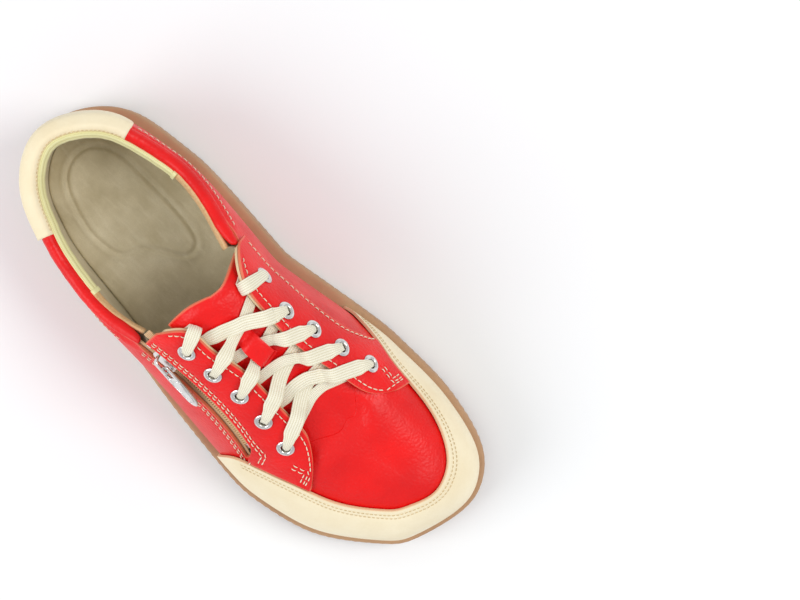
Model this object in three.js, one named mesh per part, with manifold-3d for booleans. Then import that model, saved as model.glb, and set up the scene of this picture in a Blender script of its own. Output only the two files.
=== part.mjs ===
// A right-foot two-tone leather shoe with a rubber outsole, flat laces and a side zip.
// Millimetres, +Z up, +Y to the toe, +X to the outer (lateral) side of the foot.
// The origin is on the ground, under the middle of the sole.
//
// Every leather, lining and stiffener is a skin on one analytic surface, the last:
//   a  runs round the sole's edge, 0 at the toe, 1 at the heel, positive on the lateral side,
//   t  runs up the wall, 0 at the sole's edge, 1 on the ridge over the instep, more beyond it,
//   o  is the distance outwards from that surface.
import * as THREE from 'three';
import { mergeVertices } from 'three/addons/utils/BufferGeometryUtils.js';
import Module from 'manifold-3d';

const wasm = await Module();
wasm.setup();

// ---------------------------------------------------------------- driving sizes
const soleLength = 264;
const soleWidth = 103.2;
const heelThickness = 17;
const foreThickness = 9;
const toeSpring = 7;
const toeSpringStart = 50;
const instepScale = 1;
const flange = 4.4;            // how far the upper stands in from the sole's edge
const tuck = 2.5;              // how far the upper turns in at its foot
const tuckHeight = 0.14;
const clearance = 0.5;         // between two layers
const leather = 1.4;
const overlay = 1.4;           // the second layer: facings, toe guard and heel cap
const stiffener = 1;
const liningThickness = 1;
const tongueThickness = 2.4;
const collarHalfWidth = 3.3;
const toplineLean = 4;         // how far the topline leans to the inner side round the heel
const collarHalfHeight = 4.6;
const eyeletBore = 2.1;
const eyeletBarrel = 2.7;
const eyeletFlange = 4.2;
const eyeletHeight = 1.1;      // how far a flange stands above the facing
const laceWidth = 7;
const laceBunched = 5.2;       // its width under the tongue's loop
const laceThickness = 1.2;
const lacePinch = 3.2;         // the lace's width where it passes through an eyelet
const boardThickness = 1.8;
const footbedThickness = 4;
const footInset = flange + 7.7;        // the insole board's edge, in from the sole's edge
const shankWidth = 16;
const shankThickness = 1.2;
const grooveWidth = 2.6;
const grooveDepth = 2.2;
const groovePitch = 9;
const chainHalfWidth = 2.3;
const chainHalfHeight = 0.9;
const tapeThickness = 0.7;
const tapeWidth = 6;
const zipOpening = 4.9;        // from the chain's centre line to each leather edge
const sliderLength = 12.5;
const sliderHalfWidth = 3.9;
const sliderPlate = 1;
const pullLength = 24;
const pullWidth = 6.4;
const pullThickness = 1.2;
const pullYaw = -0.28;         // radians, the pull lies a little to the sole's side

// offsets of the layers' outer faces
const overlayBase = clearance;
const overlayTop = clearance + overlay;
const stiffenerTop = -leather - clearance;
const liningTop = stiffenerTop - stiffener - clearance;
const laceUnder = -leather - clearance - laceThickness / 2;
const tongueTop = laceUnder - laceThickness / 2 - clearance;
const laceOver = overlayTop + clearance + 0.3 + laceThickness / 2;
const chainLevel = -leather - clearance - tapeThickness / 2;

// ---------------------------------------------------------------- smooth curves
function controls(points, closed) {
  let values = points.map((p) => p.slice());
  const last = points.length - 1;
  for (let pass = 0; pass < 30; pass++) {
    values = points.map((p, i) => {
      if (!closed && (i === 0 || i === last)) return p.slice();
      const before = values[(i + last) % (last + 1)];
      const after = values[(i + 1) % (last + 1)];
      return p.map((v, k) => (6 * v - before[k] - after[k]) / 4);
    });
  }
  return values;
}

// A cubic B-spline that passes through its points; u counts the points.
function curve(points, closed = false) {
  const values = controls(points, closed);
  const n = values.length;
  const extend = (end, next) => end.map((v, k) => 2 * v - next[k]);
  const at = (i) => {
    if (closed) return values[((i % n) + n) % n];
    if (i < 0) return extend(values[0], values[1]);
    if (i > n - 1) return extend(values[n - 1], values[n - 2]);
    return values[i];
  };
  return (u) => {
    const v = closed ? u : Math.min(Math.max(u, 0), n - 1);
    const i = closed ? Math.floor(v) : Math.min(Math.floor(v), n - 2);
    const f = v - i;
    const weights = [
      (1 - f) ** 3 / 6,
      (3 * f ** 3 - 6 * f ** 2 + 4) / 6,
      (-3 * f ** 3 + 3 * f ** 2 + 3 * f + 1) / 6,
      f ** 3 / 6,
    ];
    const four = [at(i - 1), at(i), at(i + 1), at(i + 2)];
    return values[0].map((_, k) => weights.reduce((sum, w, m) => sum + w * four[m][k], 0));
  };
}

// Reads the y of a list of [x, y] samples at any x.
function lookUp(samples) {
  return (x) => {
    if (x <= samples[0][0]) return samples[0][1];
    let low = 0;
    let high = samples.length - 1;
    if (x >= samples[high][0]) return samples[high][1];
    while (high - low > 1) {
      const middle = (low + high) >> 1;
      if (samples[middle][0] > x) high = middle;
      else low = middle;
    }
    const [x0, y0] = samples[low];
    const [x1, y1] = samples[high];
    return y0 + (y1 - y0) * (x - x0) / (x1 - x0);
  };
}

// A smooth y = f(x) through a few points with x rising.
function graph(points, samples = 400) {
  const line = curve(points);
  const list = [];
  for (let k = 0; k <= samples; k++) list.push(line((points.length - 1) * k / samples));
  return lookUp(list);
}

const smoothStep = (x, from, to) => THREE.MathUtils.smoothstep(x, from, to);
const mix = THREE.MathUtils.lerp;

// ---------------------------------------------------------------- the last
// The sole's outline from the toe down the lateral side to the heel and back up the medial side,
// in half widths and half lengths.
const soleShape = [
  [-0.27, 1], [0.19, 0.955], [0.445, 0.887], [0.755, 0.735], [0.92, 0.588], [0.998, 0.436],
  [0.994, 0.288], [0.89, -0.015], [0.746, -0.31], [0.65, -0.606], [0.543, -0.758],
  [0.34, -0.905], [-0.155, -1], [-0.65, -0.905], [-0.833, -0.758], [-0.882, -0.606],
  [-0.895, -0.455], [-0.84, -0.16], [-0.853, -0.015], [-0.975, 0.288], [-1, 0.436],
  [-1, 0.588], [-0.955, 0.735], [-0.833, 0.887], [-0.6, 0.977],
];
const heelIndex = 12;
const halfLength = soleLength / 2;
const soleLine = curve(soleShape.map(([x, y]) => [x * soleWidth / 2, y * halfLength]), true);

// Maps a share of one side's arc length to the curve's parameter.
function sideTable(from, to) {
  const samples = [[0, from]];
  let length = 0;
  let before = soleLine(from);
  for (let k = 1; k <= 600; k++) {
    const u = mix(from, to, k / 600);
    const now = soleLine(u);
    length += Math.hypot(now[0] - before[0], now[1] - before[1]);
    samples.push([length, u]);
    before = now;
  }
  return lookUp(samples.map(([s, u]) => [s / length, u]));
}
const lateralSide = sideTable(0, heelIndex);
const medialSide = sideTable(soleShape.length, heelIndex);

const wrap = (a) => ((a + 1) % 2 + 2) % 2 - 1;

// The sole's edge at a, moved inwards by inset.
function outline(a, inset = 0) {
  const w = wrap(a);
  const u = w >= 0 ? lateralSide(w) : medialSide(-w);
  const [x, y] = soleLine(u);
  const ahead = soleLine(u + 0.02);
  const behind = soleLine(u - 0.02);
  const dx = ahead[0] - behind[0];
  const dy = ahead[1] - behind[1];
  const run = Math.hypot(dx, dy);
  return [x + dy / run * inset, y - dx / run * inset];
}

const springRun = halfLength - toeSpringStart;
const underside = (y) => toeSpring * (Math.max(y - toeSpringStart, 0) / springRun) ** 2;
const soleThickness = (y) => mix(heelThickness, foreThickness, smoothStep(y, -55, 25));
const featherHeight = (y) => underside(y) + soleThickness(y);

// The ridge over the instep: sideways place and height, against y in half lengths.
const ridgeSide = graph([[-1, -8], [-0.45, -10], [0, -13], [0.38, -12.5], [0.68, -11], [1, -12]]);
const ridgeHeight = graph([
  [-1, 112], [-0.455, 110], [-0.19, 101], [0, 92], [0.15, 83], [0.3, 73], [0.455, 63.5],
  [0.606, 56.5], [0.735, 52.5], [1, 51],
]);
const ridgeReach = 0.76;       // the ridge's share of the sole's length
// How square the cross-section's shoulder is on each side, from toe to heel.
const lateralShoulder = graph([[0, 2.2], [0.15, 1.95], [0.3, 1.8], [0.45, 1.85], [0.6, 2.1], [0.8, 2.4], [1, 2.4]]);
const medialShoulder = graph([[0, 2.2], [0.15, 2.4], [0.3, 2.5], [0.5, 2.7], [0.65, 3], [0.8, 2.6], [1, 2.4]]);
const bell = (x, middle, width) => Math.exp(-(((x - middle) / width) ** 2));

function last(a0, t0) {
  const a = wrap(t0 > 1 ? -a0 : a0);
  const t = t0 > 1 ? 2 - t0 : t0;
  const [x, y] = outline(a, flange);
  const ridgeY = (y + outline(-a, flange)[1]) / 2 * ridgeReach;
  const ridgeX = ridgeSide(ridgeY / halfLength);
  const ridgeZ = ridgeHeight(ridgeY / halfLength) * instepScale;
  const foot = featherHeight(y);
  const lateral = a > 0;
  const power = lateral ? lateralShoulder(a) : medialShoulder(-a);
  const angle = t * Math.PI / 2;
  const c = Math.cos(angle);
  const s = Math.sin(angle);
  const rho = (Math.abs(c) ** power + Math.abs(s) ** power) ** (1 / power);
  const reach = Math.hypot(ridgeX - x, ridgeY - y);
  const turned = tuck * Math.max(1 - t / tuckHeight, 0) ** 2;
  const swell = (lateral ? 5 : 3.5) * bell(Math.abs(a), 0.7, 0.14) * bell(t, lateral ? 0.33 : 0.25, 0.17);
  const inwards = 1 - c / rho + (turned - swell) / reach;
  const lean = toplineLean * smoothStep(Math.abs(a), 0.61, 0.76) * smoothStep(t, 0.25, 0.8);
  return new THREE.Vector3(
    mix(x, ridgeX, inwards) - lean, mix(y, ridgeY, inwards), mix(foot, ridgeZ, s / rho));
}

function normal(a, t) {
  const e = 1e-3;
  const along = last(a + e, t).sub(last(a - e, t));
  if (along.length() < 1e-6) return normal(a, t - 0.01);
  const up = last(a, t + e).sub(last(a, t - e));
  return up.cross(along).normalize();
}

const lift = (a, t, o) => last(a, t).addScaledVector(normal(a, t), o);
// millimetres for each unit of t, and of a
const climb = (a, t) => last(a, t + 0.005).distanceTo(last(a, t - 0.005)) * 100;
const stride = (a, t) => last(a + 0.002, t).distanceTo(last(a - 0.002, t)) * 250;

// The t at which the wall reaches a height.
function wallAt(a, z) {
  let low = 0;
  let high = 1;
  for (let k = 0; k < 40; k++) {
    const middle = (low + high) / 2;
    if (last(a, middle).z < z) low = middle;
    else high = middle;
  }
  return low;
}
const foot = (a, rise) => wallAt(a, featherHeight(outline(a, flange)[1]) + rise);
const leatherFoot = (a) => foot(a, 0.9);
const overlayFoot = (a) => foot(a, 1.4);

// ---------------------------------------------------------------- closed solids
function finish(points, faces) {
  let geometry = new THREE.BufferGeometry();
  geometry.setAttribute('position', new THREE.Float32BufferAttribute(points.flatMap((p) => p.toArray()), 3));
  geometry.setIndex(faces.flat());
  geometry = mergeVertices(geometry, 1e-3);
  const index = Array.from(geometry.index.array);
  const kept = [];
  for (let k = 0; k < index.length; k += 3) {
    const [i, j, l] = index.slice(k, k + 3);
    if (i !== j && j !== l && l !== i) kept.push([i, j, l]);
  }
  const place = (i) => new THREE.Vector3().fromBufferAttribute(geometry.attributes.position, i);
  const volume = kept.reduce((sum, [i, j, l]) => sum + place(i).dot(place(j).cross(place(l))), 0);
  geometry.setIndex(volume < 0 ? kept.flatMap(([i, j, l]) => [i, l, j]) : kept.flat());
  return geometry;
}

function plain(geometry) {
  const copy = geometry.clone();
  copy.deleteAttribute('normal');
  copy.deleteAttribute('uv');
  return mergeVertices(copy, 1e-4);
}

function toManifold(geometry) {
  const bare = plain(geometry);
  const mesh = new wasm.Mesh({
    numProp: 3,
    vertProperties: new Float32Array(bare.attributes.position.array),
    triVerts: new Uint32Array(bare.index.array),
  });
  return new wasm.Manifold(mesh);
}

function fromManifold(solid) {
  const mesh = solid.getMesh();
  const geometry = new THREE.BufferGeometry();
  geometry.setAttribute('position', new THREE.BufferAttribute(new Float32Array(mesh.vertProperties), 3));
  geometry.setIndex(Array.from(mesh.triVerts));
  return geometry;
}

const cut = (geometry, tools) => fromManifold(
  tools.reduce((solid, tool) => solid.subtract(toManifold(tool)), toManifold(geometry)));
const join = (first, ...others) => fromManifold(
  others.reduce((solid, other) => solid.add(toManifold(other)), toManifold(first)));

// A curved sheet: point(i, j, side) gives its outer (side 0) and inner (side 1) faces.
// seam leaves the last row open, where the sheet meets itself on the ridge.
function sheet(columns, rows, point, seam = false) {
  const points = [];
  const faces = [];
  const id = (i, j, side) => side * (columns + 1) * (rows + 1) + i * (rows + 1) + j;
  const quad = (p, q, r, s) => faces.push([p, q, r], [p, r, s]);
  for (let side = 0; side < 2; side++) {
    for (let i = 0; i <= columns; i++) {
      for (let j = 0; j <= rows; j++) points.push(point(i, j, side));
    }
  }
  for (let i = 0; i < columns; i++) {
    for (let j = 0; j < rows; j++) {
      quad(id(i, j, 0), id(i, j + 1, 0), id(i + 1, j + 1, 0), id(i + 1, j, 0));
      quad(id(i, j, 1), id(i + 1, j, 1), id(i + 1, j + 1, 1), id(i, j + 1, 1));
    }
    quad(id(i, 0, 0), id(i + 1, 0, 0), id(i + 1, 0, 1), id(i, 0, 1));
    if (!seam) quad(id(i, rows, 0), id(i, rows, 1), id(i + 1, rows, 1), id(i + 1, rows, 0));
  }
  for (let j = 0; j < rows; j++) {
    quad(id(0, j, 0), id(0, j, 1), id(0, j + 1, 1), id(0, j + 1, 0));
    quad(id(columns, j, 0), id(columns, j + 1, 0), id(columns, j + 1, 1), id(columns, j, 1));
  }
  return finish(points, faces);
}

const stationStep = 0.03;

// Places along a that all the layers share, so that their facets lie parallel.
function stations(from, to, step = stationStep) {
  const list = [from];
  for (let k = Math.ceil(from / step); k * step < to; k++) {
    const a = k * step;
    if (a - from > step * 0.3 && to - a > step * 0.3) list.push(a);
  }
  list.push(to);
  return list;
}

// A layer between two edges, low(a) and high(a), from offset outer in to offset inner.
function panel(places, low, high, outer, inner, rows, seam = false) {
  return sheet(places.length - 1, rows, (i, j, side) => {
    const a = places[i];
    return lift(a, mix(low(a), high(a), j / rows), side ? inner : outer);
  }, seam);
}

// A bar whose cross-section, section(i), is a closed ring of points at each of its places.
function bar(count, section) {
  const rings = Array.from({ length: count }, (_, i) => section(i));
  const n = rings[0].length;
  const faces = [];
  for (let i = 0; i + 1 < count; i++) {
    for (let k = 0; k < n; k++) {
      const l = (k + 1) % n;
      faces.push([i * n + k, (i + 1) * n + k, (i + 1) * n + l], [i * n + k, (i + 1) * n + l, i * n + l]);
    }
  }
  const middle = (ring) => ring.reduce((sum, p) => sum.add(p), new THREE.Vector3()).divideScalar(n);
  const points = rings.flat();
  points.push(middle(rings[0]), middle(rings[count - 1]));
  for (let k = 0; k < n; k++) {
    const l = (k + 1) % n;
    faces.push([points.length - 2, k, l], [points.length - 1, (count - 1) * n + l, (count - 1) * n + k]);
  }
  return finish(points, faces);
}

// A block between rings of the sole's outline: each ring is an inset and a height(y).
function block(places, rings) {
  const points = [];
  const faces = [];
  const count = places.length;
  for (const { inset, height } of rings) {
    for (const sign of [1, -1]) {
      for (const a of places) {
        const [x, y] = outline(sign * a, inset);
        points.push(new THREE.Vector3(x, y, height(y)));
      }
    }
  }
  const id = (ring, side, i) => (ring * 2 + side) * count + i;
  const quad = (p, q, r, s) => faces.push([p, q, r], [p, r, s]);
  for (let i = 0; i + 1 < count; i++) {
    for (let ring = 0; ring + 1 < rings.length; ring++) {
      quad(id(ring, 0, i), id(ring + 1, 0, i), id(ring + 1, 0, i + 1), id(ring, 0, i + 1));
      quad(id(ring, 1, i), id(ring, 1, i + 1), id(ring + 1, 1, i + 1), id(ring + 1, 1, i));
    }
    const top = rings.length - 1;
    quad(id(0, 0, i), id(0, 0, i + 1), id(0, 1, i + 1), id(0, 1, i));
    quad(id(top, 0, i), id(top, 1, i), id(top, 1, i + 1), id(top, 0, i + 1));
  }
  return finish(points, faces);
}

// ---------------------------------------------------------------- materials and assembly
const shoe = new THREE.Group();
const finishes = {
  redLeather: { color: 0xd3211c, roughness: 0.5, metalness: 0 },
  creamLeather: { color: 0xeee0bd, roughness: 0.55, metalness: 0 },
  rubber: { color: 0x9a7b5c, roughness: 0.8, metalness: 0 },
  suede: { color: 0xa79c7c, roughness: 0.95, metalness: 0 },
  textile: { color: 0xe2dfae, roughness: 0.9, metalness: 0 },
  board: { color: 0xa98c62, roughness: 0.9, metalness: 0 },
  steel: { color: 0x8d9094, roughness: 0.4, metalness: 0.9 },
  nickel: { color: 0xd0d0cc, roughness: 0.25, metalness: 1 },
  zipTape: { color: 0xa5885b, roughness: 0.85, metalness: 0 },
  lace: { color: 0xece5d2, roughness: 0.9, metalness: 0 },
  plastic: { color: 0xf4f1e6, roughness: 0.35, metalness: 0 },
};

function piece(name, geometry, look, parent = shoe) {
  const mesh = new THREE.Mesh(geometry, new THREE.MeshStandardMaterial(finishes[look]));
  mesh.name = name;
  parent.add(mesh);
  return mesh;
}

// ---------------------------------------------------------------- the edges of the upper
// The toe guard's upper edge, as t against a, from the medial to the lateral side.
const guardFrom = -0.42;
const guardTo = 0.42;
const guardEdge = graph([
  [guardFrom, 0.05], [-0.39, 0.18], [-0.35, 0.31], [-0.3, 0.4], [-0.24, 0.44], [-0.18, 0.48],
  [-0.12, 0.56], [-0.07, 0.63], [-0.02, 0.675], [0.04, 0.68], [0.09, 0.65], [0.14, 0.6], [0.2, 0.55],
  [0.265, 0.52], [0.32, 0.475], [0.36, 0.43], [0.4, 0.33], [guardTo, 0.15],
]);
// The facings' edges along the throat.
const medialThroat = graph([
  [-0.6, 0.46], [-0.59, 0.54], [-0.57, 0.64], [-0.54, 0.72], [-0.5, 0.77], [-0.45, 0.815],
  [-0.4, 0.815], [-0.35, 0.79], [-0.31, 0.765], [-0.28, 0.71], [-0.264, 0.56],
]);
const lateralThroat = graph([
  [0.264, 0.56], [0.275, 0.67], [0.29, 0.75], [0.315, 0.81], [0.36, 0.825], [0.42, 0.835],
  [0.48, 0.83], [0.53, 0.8], [0.57, 0.795], [0.595, 0.73], [0.612, 0.62],
]);
const medialSeam = graph([[-0.6, 0.39], [-0.53, 0.4], [-0.47, 0.44], [-0.42, 0.455], [-0.385, 0.43], [-0.35, 0.34]]);
const facingTab = 0.264;       // where both facings end, towards the toe
const facingRear = 0.6;
const lateralRear = 0.612;
const vampSide = 0.3;          // where the vamp meets the quarters
const vampThroat = 0.245;      // where the vamp ends, on the ridge
const quarterFront = 0.3035;
const tongueFront = 0.215;
const liningSplit = 0.203;     // where the vamp lining meets the quarter lining

// The collar: how high its top stands, from the facings round the heel.
const collarHeight = graph([
  [0.6, 79], [0.64, 73], [0.68, 66.5], [0.72, 62], [0.76, 60], [0.8, 61], [0.84, 64], [0.88, 68],
  [0.94, 72.5], [1, 74],
]);
const collarLine = (a) => wallAt(a, collarHeight(Math.abs(wrap(a))) - collarHalfHeight * 0.9);
// A point of the collar's section: o outwards, b up along the wall from the collar's centre line.
function collarPoint(a, o, b) {
  const centre = collarLine(a);
  return lift(a, centre + b / climb(a, centre), o);
}
const medialCollarFront = -0.612;
const lateralCollarFront = 0.632;
const capMedial = -0.832;      // the front ends of the cream heel cap
const capLateral = 0.82;
const gapAlong = 0.0016;       // a clearance along a

// ---------------------------------------------------------------- sole
const footPlaces = stations(0, 1, 0.04);
const treadRuns = [[-122, -50], [14, 118]];
const treadAngle = 0.12;

function groove(y) {
  const arm = soleWidth * 0.62;
  const height = 8;
  const parts = [1, -1].map((sign) => {
    const box = new THREE.BoxGeometry(arm, grooveWidth, height);
    box.translate(sign * arm / 2 - sign * grooveWidth / 4, 0, 0);
    box.rotateZ(sign * treadAngle);
    box.translate(0, y, underside(y) + grooveDepth - height / 2);
    return box;
  });
  return join(...parts);
}

function shankStrip(margin, bottom, top) {
  const from = -62 - margin;
  const to = 26 + margin;
  const half = shankWidth / 2 + margin;
  const centre = -3;
  const steps = 8;
  return bar(steps + 1, (i) => {
    const y = mix(from, to, i / steps);
    const z = featherHeight(y);
    return [[-half, bottom], [half, bottom], [half, top], [-half, top]]
      .map(([x, h]) => new THREE.Vector3(centre + x, y, z + h));
  });
}

function outsole() {
  const body = block(footPlaces, [
    { inset: 1.4, height: underside },
    { inset: 0, height: (y) => underside(y) + 1.6 },
    { inset: 0.2, height: (y) => featherHeight(y) - 1 },
    { inset: 1, height: featherHeight },
  ]);
  const tools = [shankStrip(clearance, -shankThickness - 2 * clearance, 1)];
  for (const [from, to] of treadRuns) {
    for (let y = from; y <= to; y += groovePitch) tools.push(groove(y));
  }
  return cut(body, tools);
}
piece('outsole', outsole(), 'rubber');
piece('shank', shankStrip(0, -shankThickness - clearance, -clearance), 'steel');

const boardBase = 0.4;
const boardTop = boardBase + boardThickness;
piece('insole_board', block(footPlaces, [
  { inset: footInset, height: (y) => featherHeight(y) + boardBase },
  { inset: footInset, height: (y) => featherHeight(y) + boardTop },
]), 'board');
piece('footbed', block(footPlaces, [
  { inset: footInset, height: (y) => featherHeight(y) + boardTop + boardBase },
  { inset: footInset - 0.6, height: (y) => featherHeight(y) + boardTop + boardBase + footbedThickness },
  { inset: footInset + 2, height: (y) => featherHeight(y) + boardTop + boardBase + footbedThickness - 0.4 },
]), 'suede');

// ---------------------------------------------------------------- toe and vamp
// Half a cap that crosses the ridge: reach(t) is how far back it goes on both sides.
function cap(reach, base, outer, thickness, step, rows) {
  const places = stations(-1, 1, step / reach(0));
  return sheet(places.length - 1, rows, (i, j, side) => {
    const share = j / rows;
    const t = mix(0, 1, share);
    const a = places[i] * reach(t);
    const low = base(a);
    return lift(a, mix(low, 1, share), outer - side * thickness);
  }, true);
}
const vampReach = (t) => mix(vampSide, vampThroat, smoothStep(t, 0.72, 0.97));
piece('vamp', cap(vampReach, leatherFoot, 0, leather, stationStep, 9), 'redLeather');
piece('vamp_lining', cap(() => liningSplit, leatherFoot, liningTop, liningThickness, 0.04, 8), 'suede');
piece('toe_puff', cap(() => 0.15, leatherFoot, stiffenerTop, stiffener, 0.04, 8), 'board');

const guardPlaces = [
  guardFrom, guardFrom + 0.01, ...stations(-0.4, 0.39), guardTo - 0.02, guardTo - 0.01, guardTo];
piece('toe_guard', panel(guardPlaces, overlayFoot, (a) => Math.max(guardEdge(a), overlayFoot(a) + 0.03),
  overlayTop, overlayBase, 5), 'creamLeather');

// ---------------------------------------------------------------- zip line
// The chain's centre line is an arc of a circle through three places on the last.
const zipPlaces = [[0.598, 0.495], [0.498, 0.532], [0.392, 0.48]];
const [zipTop, zipMiddle, zipToe] = zipPlaces.map(([a, t]) => lift(a, t, chainLevel));

function circleThrough(p, q, r) {
  const u = q.clone().sub(p);
  const v = r.clone().sub(p);
  const w = u.clone().cross(v);
  const toCentre = w.clone().cross(u).multiplyScalar(v.lengthSq())
    .add(v.clone().cross(w).multiplyScalar(u.lengthSq()))
    .divideScalar(2 * w.lengthSq());
  return { centre: p.clone().add(toCentre), radius: toCentre.length(), axis: w.normalize() };
}
const zipArc = circleThrough(zipTop, zipMiddle, zipToe);
const zipOut = zipArc.axis.clone().negate();
const zipRadial = zipTop.clone().sub(zipArc.centre).normalize();
const zipForward = zipArc.axis.clone().cross(zipRadial);
const toToe = zipToe.clone().sub(zipArc.centre);
const chainLength = zipArc.radius * Math.atan2(toToe.dot(zipForward), toToe.dot(zipRadial));

// A point s millimetres along the chain, w across it towards the throat, h outwards.
function onZip(s, w, h) {
  const angle = s / zipArc.radius;
  const radial = zipRadial.clone().multiplyScalar(Math.cos(angle)).addScaledVector(zipForward, Math.sin(angle));
  return zipArc.centre.clone().addScaledVector(radial, zipArc.radius + w).addScaledVector(zipOut, h);
}

// The (a, t) under a point near the last, found from a guess.
function beneath(point, guess) {
  let [a, t] = guess;
  const e = 1e-3;
  for (let pass = 0; pass < 12; pass++) {
    const here = last(a, t);
    const gap = point.clone().sub(here);
    const alongA = last(a + e, t).sub(here).divideScalar(e);
    const alongT = last(a, t + e).sub(here).divideScalar(e);
    const aa = alongA.dot(alongA);
    const at = alongA.dot(alongT);
    const tt = alongT.dot(alongT);
    const det = aa * tt - at * at;
    a += (tt * gap.dot(alongA) - at * gap.dot(alongT)) / det;
    t += (aa * gap.dot(alongT) - at * gap.dot(alongA)) / det;
  }
  return [a, t];
}

const zipOverrun = 8;          // the tapes go on past the chain's ends
function zipTrace() {
  const trace = [];
  let guess = zipPlaces[2];
  for (let s = chainLength + zipOverrun; s >= -zipOverrun; s -= 2) {
    guess = beneath(onZip(s, 0, 0), guess);
    trace.push(guess);
  }
  return lookUp(trace);
}
const zipT = zipTrace();
// The t at a distance across the chain: the chain runs at a slant to the a direction.
const aboveZip = (distance) => (a) => {
  const t = zipT(a);
  const slope = (zipT(a + 0.004) - zipT(a - 0.004)) / 0.008 * climb(a, t) / stride(a, t);
  return t + distance * Math.hypot(1, slope) / climb(a, t);
};

// ---------------------------------------------------------------- quarters
const quarterSplit = 0.5;      // in front of the zip, where the quarter meets the eyestay lining
const zipClosed = 0.374;       // where the zip's opening ends, towards the toe
const zipBlend = 0.008;
const openAt = (a) => smoothStep(a, zipClosed, zipClosed + zipBlend);
const collarFoot = (a) => collarLine(a) - (collarHalfHeight + clearance) / climb(a, collarLine(a));

function lateralQuarterTop(a) {
  if (a > lateralCollarFront - 0.002) return collarFoot(a);
  const beside = mix(quarterSplit - 0.006, aboveZip(-zipOpening)(a), openAt(a));
  return mix(beside, collarFoot(a), smoothStep(a, lateralRear, lateralCollarFront));
}
function medialQuarterTop(a) {
  const seam = medialSeam(a) + 5 / climb(a, medialSeam(a));
  return mix(seam, collarFoot(a), smoothStep(-a, facingRear - 0.005, -medialCollarFront));
}
const quarterRear = 1 - gapAlong / 2;
const lateralQuarterPlaces = [
  ...stations(quarterFront, zipClosed), zipClosed + zipBlend,
  ...stations(0.4, lateralRear), ...stations(lateralCollarFront, quarterRear),
];
const medialQuarterPlaces = stations(-quarterRear, -quarterFront);
piece('lateral_quarter', panel(lateralQuarterPlaces, leatherFoot, lateralQuarterTop, 0, -leather, 5), 'redLeather');
piece('medial_quarter', panel(medialQuarterPlaces, leatherFoot, medialQuarterTop, 0, -leather, 5), 'redLeather');

const counterTop = (a) => collarLine(a) - 13 / climb(a, collarLine(a));
piece('heel_counter', panel(stations(0.8, 1.2), leatherFoot, counterTop,
  stiffenerTop, stiffenerTop - stiffener, 3), 'board');

// ---------------------------------------------------------------- eyestays
function eyestay(places, low, high, outer, inner, bores, radius, rows) {
  const body = panel(places, low, high, outer, inner, rows);
  return cut(body, bores.map(([a, t]) => drill(a, t, radius)));
}

function standOn(geometry, a, t, o) {
  const turn = new THREE.Quaternion().setFromUnitVectors(new THREE.Vector3(0, 0, 1), normal(a, t));
  const place = lift(a, t, o);
  return geometry.applyQuaternion(turn).translate(place.x, place.y, place.z);
}

function drill(a, t, radius) {
  const tool = new THREE.CylinderGeometry(radius, radius, 12, 10);
  tool.rotateX(Math.PI / 2);
  return standOn(tool, a, t, 0);
}

// The eyelets' centres, from the ankle down to the toe.
const medialEyelets = [[-0.541, 0.52], [-0.482, 0.655], [-0.43, 0.64], [-0.377, 0.618], [-0.325, 0.565]];
const lateralEyelets = [[0.558, 0.692], [0.504, 0.707], [0.448, 0.724], [0.391, 0.713], [0.334, 0.68]];
const boreRadius = eyeletBarrel + 0.3;
const liningBore = eyeletBarrel + 1.4;
const tabPlaces = [facingTab, 0.268, 0.275, 0.285];

const medialFacingPlaces = [
  -0.6, -0.592, -0.583, ...stations(-0.573, -0.3), ...tabPlaces.map((a) => -a).reverse()];
const medialFacingLow = (a) => mix(guardEdge(a) + 0.012, medialSeam(a), smoothStep(-a, 0.345, 0.36));
piece('medial_facing', eyestay(medialFacingPlaces, medialFacingLow, medialThroat, overlayTop, overlayBase,
  medialEyelets, boreRadius, 4), 'redLeather');
piece('medial_eyestay_lining', eyestay(
  [-0.597, -0.59, -0.58, ...stations(-0.57, -quarterFront)],
  (a) => Math.min(medialQuarterTop(a) + 0.008, medialThroat(a) - 0.03), (a) => medialThroat(a) - 0.004,
  0, -leather, medialEyelets, liningBore, 3), 'creamLeather');

const lateralFacingPlaces = [
  ...tabPlaces, ...stations(0.3, zipClosed), zipClosed + zipBlend,
  ...stations(0.4, 0.575), 0.588, 0.6, lateralRear];
const lateralFacingLow = (a) => mix(guardEdge(a) + 0.012, aboveZip(zipOpening)(a), openAt(a));
piece('lateral_facing', eyestay(lateralFacingPlaces, lateralFacingLow, lateralThroat, overlayTop, overlayBase,
  lateralEyelets, boreRadius, 4), 'redLeather');
piece('lateral_eyestay_lining', eyestay(
  [...stations(quarterFront, zipClosed), zipClosed + zipBlend, ...stations(0.4, 0.575), 0.59, 0.606],
  (a) => mix(quarterSplit, aboveZip(zipOpening)(a), openAt(a)), (a) => lateralThroat(a) - 0.004,
  0, -leather, lateralEyelets, liningBore, 3), 'creamLeather');

// ---------------------------------------------------------------- collar, heel cap and lining
function collarRing(points, a) {
  return points.map(([o, b]) => collarPoint(a, o, b));
}
const collarArc = (angles) => angles.map((degrees) => {
  const angle = degrees * Math.PI / 180;
  return [collarHalfWidth * (Math.cos(angle) - 1), collarHalfHeight * Math.sin(angle)];
});
const collarSection = collarArc([-60, -100, -140, 180, 140, 100, 60, 25, -10]);

function collar(places) {
  return bar(places.length, (i) => collarRing(collarSection, places[i]));
}
piece('medial_collar', collar(stations(capMedial + gapAlong, medialCollarFront)), 'redLeather');
piece('lateral_collar', collar(stations(lateralCollarFront, capLateral - gapAlong)), 'redLeather');

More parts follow.
